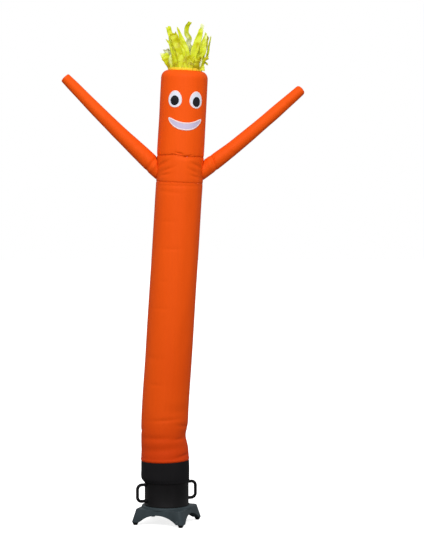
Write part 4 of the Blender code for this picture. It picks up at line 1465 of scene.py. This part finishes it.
def buildHandles():
    s = handleSetting
    start = drumSetting["radius"] + 0.0005
    for name, node, side in (("handleGripLeft", "handle_left", -1), ("handleGripRight", "handle_right", 1)):
        points = [(start, s["top"], 1.3), (start + 0.006, s["top"], 1.12), (start + 0.014, s["top"], 1.0)]
        for k in range(13):
            turn = math.radians(7.5 * k)
            across = s["reach"] - s["bend"] + s["bend"] * math.sin(turn)
            points.append((across, s["top"] - s["bend"] + s["bend"] * math.cos(turn), 1.0))
        turned = s["top"] + s["bottom"]
        points += [(across, turned - height, swell) for across, height, swell in reversed(points)]
        curve = bpy.data.curves.new(name, "CURVE")
        curve.dimensions = "3D"
        curve.bevel_depth = s["bar"]
        curve.bevel_resolution = 8
        curve.use_fill_caps = True
        spline = curve.splines.new("POLY")
        spline.points.add(len(points) - 1)
        for spot, (across, height, swell) in zip(spline.points, points):
            spot.co = (side * across, 0, height, 1)
            spot.radius = swell
        bar = bpy.data.objects.new(name + "Line", curve)
        scene.collection.objects.link(bar)
        bpy.context.view_layer.update()
        mesh = bpy.data.meshes.new_from_object(bar.evaluated_get(bpy.context.evaluated_depsgraph_get()))
        bpy.data.objects.remove(bar, do_unlink=True)
        bm = bmesh.new()
        bm.from_mesh(mesh)
        bmesh.ops.remove_doubles(bm, verts=bm.verts, dist=1e-6)
        bmesh.ops.transform(bm, matrix=blowerPlace, verts=bm.verts)
        piece = finishPiece(bm, name, "drumPlastic")
        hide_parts(node)


def buildGland():
    s = glandSetting
    profile = list(s["flange"])
    for k in range(s["rings"]):  # rings that let the cord bend
        base = s["firstRing"] + s["pitch"] * k
        ring, neck = s["ring"] - s["taper"] * k, s["neck"] - s["taper"] * k
        profile += [(ring, base), (ring, base + 0.0012), (neck, base + 0.0016), (neck, base + 0.0022)]
    bm = turnedSolid(profile + s["mouth"], s["steps"])
    place = blowerPlace @ Matrix.Translation((0, drumSetting["radius"] + 0.0003, s["height"]))
    bmesh.ops.transform(bm, matrix=place @ Matrix.Rotation(-math.pi / 2, 4, "X"), verts=bm.verts)
    piece = finishPiece(bm, "cordGland", "footRubber")
    piece.data.set_sharp_from_angle(angle=math.radians(35))
    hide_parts("cord_gland")


def dressCadNodes():
    for node, name in (
        ("outlet_grille", "coatedWire"), ("foot_front", "footRubber"), ("foot_right", "footRubber"),
        ("foot_left", "footRubber"), ("foot_back", "footRubber"),
    ):
        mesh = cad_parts[node].data
        mesh.materials.clear()
        mesh.materials.append(materials[name])


buildStudio()
for name in bodyParts:
    buildTube(name)
print("stage: tube panels")
for name in armRows:
    buildArm(name)
print("stage: arms")
buildSeamStitches()
buildArmStitches()
print("stage: stitches")
buildFace()
buildHairBand()
buildRibbons()
buildDrum()
buildPlinth()
buildHandles()
buildGland()
dressCadNodes()
print("stage: blower")
